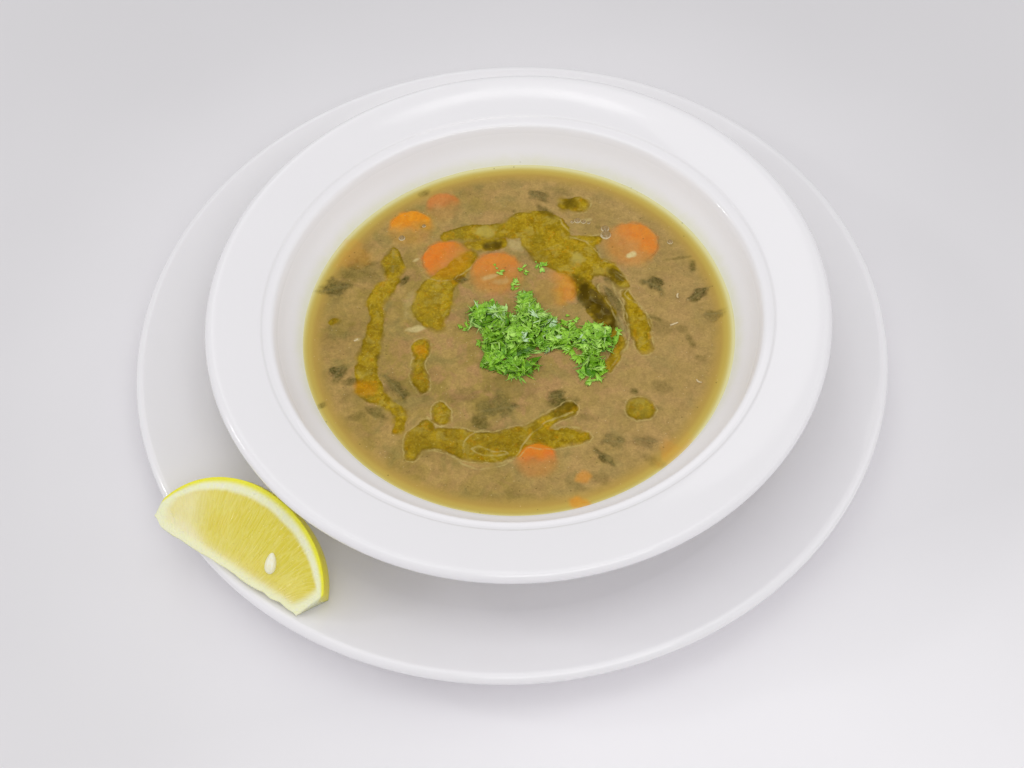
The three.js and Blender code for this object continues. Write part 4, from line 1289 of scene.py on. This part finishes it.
def stem(length, width, draw):
    """A cut strand of stem or leaf rib, six-sided and bent."""
    steps, sides = 6, 6
    along = np.linspace(-0.5, 0.5, steps) * length
    bend = draw.uniform(-0.5, 0.5)
    lift = draw.uniform(-0.3, 0.5)
    points = []
    for k, place in enumerate(along):
        share = 2 * place / length
        thick = width / 2 * (0.75 + 0.25 * math.cos(share * 1.3))
        for side in range(sides):
            angle = 2 * math.pi * side / sides
            points.append((place, bend * (1 - share**2) + thick * math.cos(angle),
                           lift * (1 - share**2) + 0.6 * thick * math.sin(angle)))
    faces = turned_over(grid_faces(steps, sides, closed=True))
    faces.append(tuple(range(sides)))
    faces.append(tuple(reversed(range((steps - 1) * sides, steps * sides))))
    return np.array(points), faces


def turned_at(points, yaw, pitch, roll, place):
    """Points turned and moved to a place."""
    turn = Matrix.Rotation(yaw, 3, "Z") @ Matrix.Rotation(pitch, 3, "Y") @ Matrix.Rotation(roll, 3, "X")
    return points @ np.array(turn).T + place


def mound_point(draw):
    """A random place on the heap, with its height."""
    areas = np.array([half_x * half_y * thick for _, _, half_x, half_y, _, thick in MOUNDS])
    mound = MOUNDS[draw.choice(len(MOUNDS), p=areas / areas.sum())]
    away, angle = 1.08 * draw.uniform(0, 1)**0.6, draw.uniform(0, 2 * math.pi)
    x = mound[0] + away * mound[2] * math.cos(angle)
    y = mound[1] + away * mound[3] * math.sin(angle)
    return x, y, float(heap_height(np.array([x]), np.array([y]))[0])


def heap_core():
    """The inside of the heap, in the darkest tone as painted shade, which shows only between the shreds."""
    size = 90
    xs, ys = np.linspace(-22, 45, size), np.linspace(-37, 14, size)
    x, y = (grid.ravel() for grid in np.meshgrid(xs, ys))
    z = 0.6 * heap_height(x, y) - 0.9 + 0.5 * bumps(x, y, 1.9, 51)
    top = np.column_stack([x, y, SOUP_LEVEL + z])
    keep = [face for face in grid_faces(size, size) if z[list(face)].mean() > -0.2]
    used = sorted({corner for face in keep for corner in face})
    place = {corner: k for k, corner in enumerate(used)}
    upper = [tuple(place[corner] for corner in face) for face in keep]
    count = len(used)
    bottom = np.column_stack([x[used], y[used], np.full(count, SOUP_LEVEL - 1.8)])
    lower = [tuple(corner + count for corner in face) for face in turned_over(upper)]
    edges = {(face[k - 1], face[k]) for face in upper for k in range(4)}
    walls = [(b, a, a + count, b + count) for a, b in sorted(edges) if (b, a) not in edges]
    return np.vstack([top[used], bottom]), [*upper, *lower, *walls]


def lay_shred(heap, draw, points, faces, tilt, stem_share):
    """Lays one shred at a random place on the heap."""
    x, y, height = mound_point(draw)
    level = SOUP_LEVEL + height * draw.uniform(0.6, 0.95) + 0.4
    points = turned_at(points, draw.uniform(0, 2 * math.pi), draw.normal(0, tilt), draw.normal(0, tilt),
                       (x, y, level))
    # What would go under the soup lies flat on it, at a twentieth of its thickness
    floor = SOUP_LEVEL + draw.uniform(-0.1, 0.2)
    points[:, 2] = np.where(points[:, 2] < floor, floor + (points[:, 2] - floor) / 20, points[:, 2])
    tone = float(np.clip(draw.normal(0.5, 0.24) + 0.25 * bumps(x, y, 6, 71), 0, 1))
    heap.add(points, faces, tone=tone, stem=stem_share)


def make_parsley():
    """The heap of chopped parsley, and the shreds that lie loose round it."""
    draw = np.random.default_rng(SHRED_SEED)
    material = parsley_material()
    heap = Heap()
    # The heap's inside takes the darkest tone, as painted shade between the shreds
    heap.add(*heap_core(), tone=0.0, stem=0.0)
    for _ in range(LEAFLET_COUNT):
        length = draw.uniform(3, 6.8)
        points, faces = leaflet(length, draw.uniform(13, 34), int(draw.integers(2, 5)), draw)
        lay_shred(heap, draw, points - [length / 2, 0, 0], faces, 0.4, 0.0)
    for _ in range(SPRIG_COUNT):
        points, faces = sprig(draw.uniform(3, 5), draw)
        lay_shred(heap, draw, points - [2, 0, 0], faces, 0.3, 0.0)
    for _ in range(STRIP_COUNT):
        length = draw.uniform(4.5, 8.5)
        points, faces = leaflet(length, draw.uniform(5, 9), 1, draw)
        lay_shred(heap, draw, points - [length / 2, 0, 0], faces, 0.22, float(draw.uniform(0, 0.6)))
    heap.piece("parsley_shreds", material, "parsley", ["parsley"])
    loose = Heap()
    for middle_x, middle_y, spread, count in LOOSE_PARSLEY:
        for _ in range(count):
            points, faces = leaflet(draw.uniform(1.4, 3.6), draw.uniform(12, 40), 2, draw)
            place = (middle_x + draw.normal(0, spread / 2), middle_y + draw.normal(0, spread / 2),
                     SOUP_LEVEL + 0.45)
            points = turned_at(points, draw.uniform(0, 2 * math.pi), draw.normal(0, 0.08),
                               draw.normal(0, 0.08), place)
            loose.add(points, faces, tone=float(draw.uniform(0.3, 0.9)), stem=0.0)
    loose.piece("parsley_loose", material, "parsley")


# Small things on the soup


def make_bubbles():
    """Low domes of broth."""
    heap = Heap()
    for x, y, radius in BUBBLES:
        profile = [(0, -0.2), (radius * 1.12, -0.1)]
        for degrees in range(5, 90, 7):
            angle = math.radians(degrees)
            profile.append((radius * math.cos(angle), 0.62 * radius * math.sin(angle)))
        profile.append((0, 0.62 * radius))
        points, faces = lathe(profile, 28)
        height = np.clip(points[:, 2] / (0.62 * radius), 0, 1)
        heap.add(points + [x, y, SOUP_LEVEL], faces, height=height)
    heap.piece("bubbles", bubble_material(), "soup")


def make_husks():
    """Thin pale husks and fibres that float on the soup."""
    draw = np.random.default_rng(5)
    heap = Heap()
    for x, y, length, width, bearing in HUSKS:
        points, faces = stem(length, width, draw)
        heap.add(turned_at(points, math.radians(bearing), 0, 0, (x, y, SOUP_LEVEL + 0.15)), faces)
    heap.piece("husks", husk_material(), "soup")


# Lemon


def lemon_radius(along):
    """The lemon's radius at a distance along its length from the middle."""
    half = np.where(along < 0, LEMON_BLOSSOM_HALF, LEMON_STEM_HALF)
    return LEMON_RADIUS * np.sqrt(np.clip(1 - np.abs(along / half)**LEMON_FULLNESS, 0, 1))


def lemon_place():
    """Where the wedge lies, as a turn and a shift."""
    turn = (Matrix.Rotation(math.radians(LEMON_BEARING), 3, "Z")
            @ Matrix.Rotation(math.radians(-LEMON_PITCH), 3, "Y")
            @ Matrix.Rotation(math.radians(LEMON_TILT), 3, "X"))
    return np.array(turn), np.array(LEMON_PLACE)


def lemon_section():
    """One slice through the wedge: shares of the radius, angles and which face each is on."""
    upper = np.linspace(0, 1, LEMON_FACE_STEPS)**0.9
    angle = math.radians(-LEMON_WEDGE_ANGLE)
    share = np.concatenate([upper, np.ones(LEMON_PEEL_STEPS), upper[::-1][:-1]])
    bearing = np.concatenate([
        np.zeros(LEMON_FACE_STEPS),
        np.linspace(0, angle, LEMON_PEEL_STEPS + 2)[1:-1],
        np.full(LEMON_FACE_STEPS - 1, angle),
    ])
    skin = ((bearing < 0) & (bearing > angle)).astype(float)
    return share, bearing, skin


def make_lemon():
    """The wedge: two cut faces, a rounded peel and trimmed ends, in one closed mesh."""
    share, bearing, skin = lemon_section()
    steps = np.linspace(0, 1, LEMON_SLICES)[:, None]
    out = np.zeros((LEMON_SLICES, len(share)))
    for _ in range(40):
        along = -LEMON_BLOSSOM_TRIM + steps * (
            LEMON_BLOSSOM_TRIM + LEMON_STEM_TRIM + LEMON_TRIM_SLANT * out * np.cos(bearing))
        out = (out + share * lemon_radius(along)) / 2
    wavy = 0.9 * bumps(along, 0 * along, 9, 61) + 0.4 * bumps(along, 0 * along, 3.5, 62)
    tip = smoothstep(-30, -LEMON_BLOSSOM_TRIM, along)
    inward = (0.7 + wavy) * (1 - tip) * np.exp(-out / 2.2) + 2.4 * tip * np.exp(-out / 4)
    tucked = out + inward * (1 - skin)
    y = tucked * np.cos(bearing)
    z = tucked * np.sin(bearing)
    upper = (bearing == 0) & (share < 1)
    lumps = 0.09 * bumps(along * 1.3, out * 0.35, 1.1, 63) + 0.3 * bumps(along, out, 7, 64)
    z = z + np.where(upper, lumps * np.clip(out / 3, 0, 1) * np.clip((1 - share) * 8, 0, 1), 0)
    points = np.stack([along, y, z], axis=-1).reshape(-1, 3)
    from_stem = LEMON_STEM_TRIM + LEMON_TRIM_SLANT * out * np.cos(bearing) - along
    ends = np.minimum(along + LEMON_BLOSSOM_TRIM, from_stem)
    depth = np.minimum(lemon_radius(along) * (1 - share), 3.2 + 0.55 * ends).ravel()
    fan = along / (0.6 + 0.4 * share)
    count = along.shape[1]
    faces = turned_over(closed_faces(LEMON_SLICES, count))
    caps = np.array([points[:count].mean(axis=0), points[-count:].mean(axis=0)])
    turn, place = lemon_place()
    points = np.vstack([points, caps]) @ turn.T + place
    core = smoothstep(4.9, 1.4, out) * (1 - skin)
    values = {
        "depth": np.append(depth, [3, 3]),
        "fan": np.append(fan.ravel(), [0, 0]),
        "out": np.append(out.ravel(), [8, 8]),
        "skin": np.append(np.broadcast_to(skin, along.shape).ravel(), [0, 0]),
        "core": np.append(core.ravel(), [0.5, 0.5]),
    }
    make_piece("lemon_cut", points, faces, lemon_material(), ["lemon_wedge"], values)


def make_seed():
    """The seed, drawn to a point at one end, half sunk in the cut face."""
    along = -np.cos(np.linspace(0, np.pi, SEED_RINGS + 2))
    round_part = np.sqrt(np.clip(1 - along**2, 0, 1)) * (1 - 0.22 * along)
    angles = np.linspace(0, 2 * np.pi, SEED_SIDES, endpoint=False)
    ridge = 1 + 0.03 * np.cos(5 * angles)
    x = np.repeat(along[1:-1, None] * SEED_LENGTH / 2, SEED_SIDES, axis=1)
    y = np.outer(round_part[1:-1], np.cos(angles) * ridge) * SEED_WIDTH / 2
    z = np.outer(round_part[1:-1], np.sin(angles) * ridge) * SEED_DEPTH / 2
    points = np.stack([x, y, z], axis=-1).reshape(-1, 3)
    points = np.vstack([points, [[-SEED_LENGTH / 2, 0, 0], [SEED_LENGTH / 2, 0, 0]]])
    faces = turned_over(closed_faces(SEED_RINGS, SEED_SIDES))
    spin = np.array(Matrix.Rotation(math.radians(SEED_TURN), 3, "Z"))
    turn, place = lemon_place()
    points = (points @ spin.T + [SEED_ALONG, SEED_OUT, SEED_LIFT]) @ turn.T + place
    make_piece("lemon_seed_coat", points, faces, seed_material(), ["lemon_seed"])


# Table, light and camera


def make_floor():
    """A plain pale table."""
    mesh = bpy.data.meshes.new("floor")
    reach = 9
    mesh.from_pydata([(-reach, -reach, 0), (reach, -reach, 0), (reach, reach, 0), (-reach, reach, 0)], [],
                     [(0, 1, 2, 3)])
    mesh.materials.append(floor_material())
    floor = bpy.data.objects.new("floor", mesh)
    bpy.context.scene.collection.objects.link(floor)


def make_softbox(name, place, width, height, watts):
    """A flat soft light that faces the middle of the table."""
    light = bpy.data.lights.new(name, "AREA")
    light.shape = "RECTANGLE"
    light.size = width
    light.size_y = height
    light.energy = watts
    box = bpy.data.objects.new(name, light)
    box.location = place
    box.rotation_euler = (Vector((0, 0, 0)) - Vector(place)).to_track_quat("-Z", "Y").to_euler()
    bpy.context.scene.collection.objects.link(box)


def make_light():
    """A bright room: soft lights above, in front, at both sides and behind, and two small lamps."""
    world = bpy.data.worlds.new("room")
    world.use_nodes = True
    background = world.node_tree.nodes["Background"]
    background.inputs["Color"].default_value = (1, 1, 1, 1)
    background.inputs["Strength"].default_value = ROOM_LIGHT
    bpy.context.scene.world = world
    for softbox in SOFTBOXES:
        make_softbox(*softbox)


def make_camera():
    """The photograph's camera: its angle, distance, roll and lens."""
    elevation, roll = math.radians(CAMERA_ELEVATION), math.radians(CAMERA_ROLL)
    forward = Vector((0, math.cos(elevation), -math.sin(elevation)))
    level = Vector((1, 0, 0))
    upright = level.cross(forward)
    right = math.cos(roll) * level + math.sin(roll) * upright
    up = math.cos(roll) * upright - math.sin(roll) * level
    place = (Vector(CAMERA_TARGET) - forward * CAMERA_DISTANCE) * MM
    data = bpy.data.cameras.new("camera")
    data.sensor_width = SENSOR_WIDTH
    data.lens = SENSOR_WIDTH * CAMERA_FOCAL_PIXELS / PHOTO_WIDTH
    data.clip_start = 0.01
    data.clip_end = 50
    camera = bpy.data.objects.new("camera", data)
    turn = Matrix((right, up, -forward)).transposed().to_4x4()
    camera.matrix_world = Matrix.Translation(place) @ turn
    bpy.context.scene.collection.objects.link(camera)
    bpy.context.scene.camera = camera


make_camera()
make_light()
make_floor()
make_dishes()
make_soup()
make_carrots()
make_chard()
make_parsley()
make_bubbles()
make_husks()
make_lemon()
make_seed()
bpy.context.scene.view_settings.view_transform = "Standard"
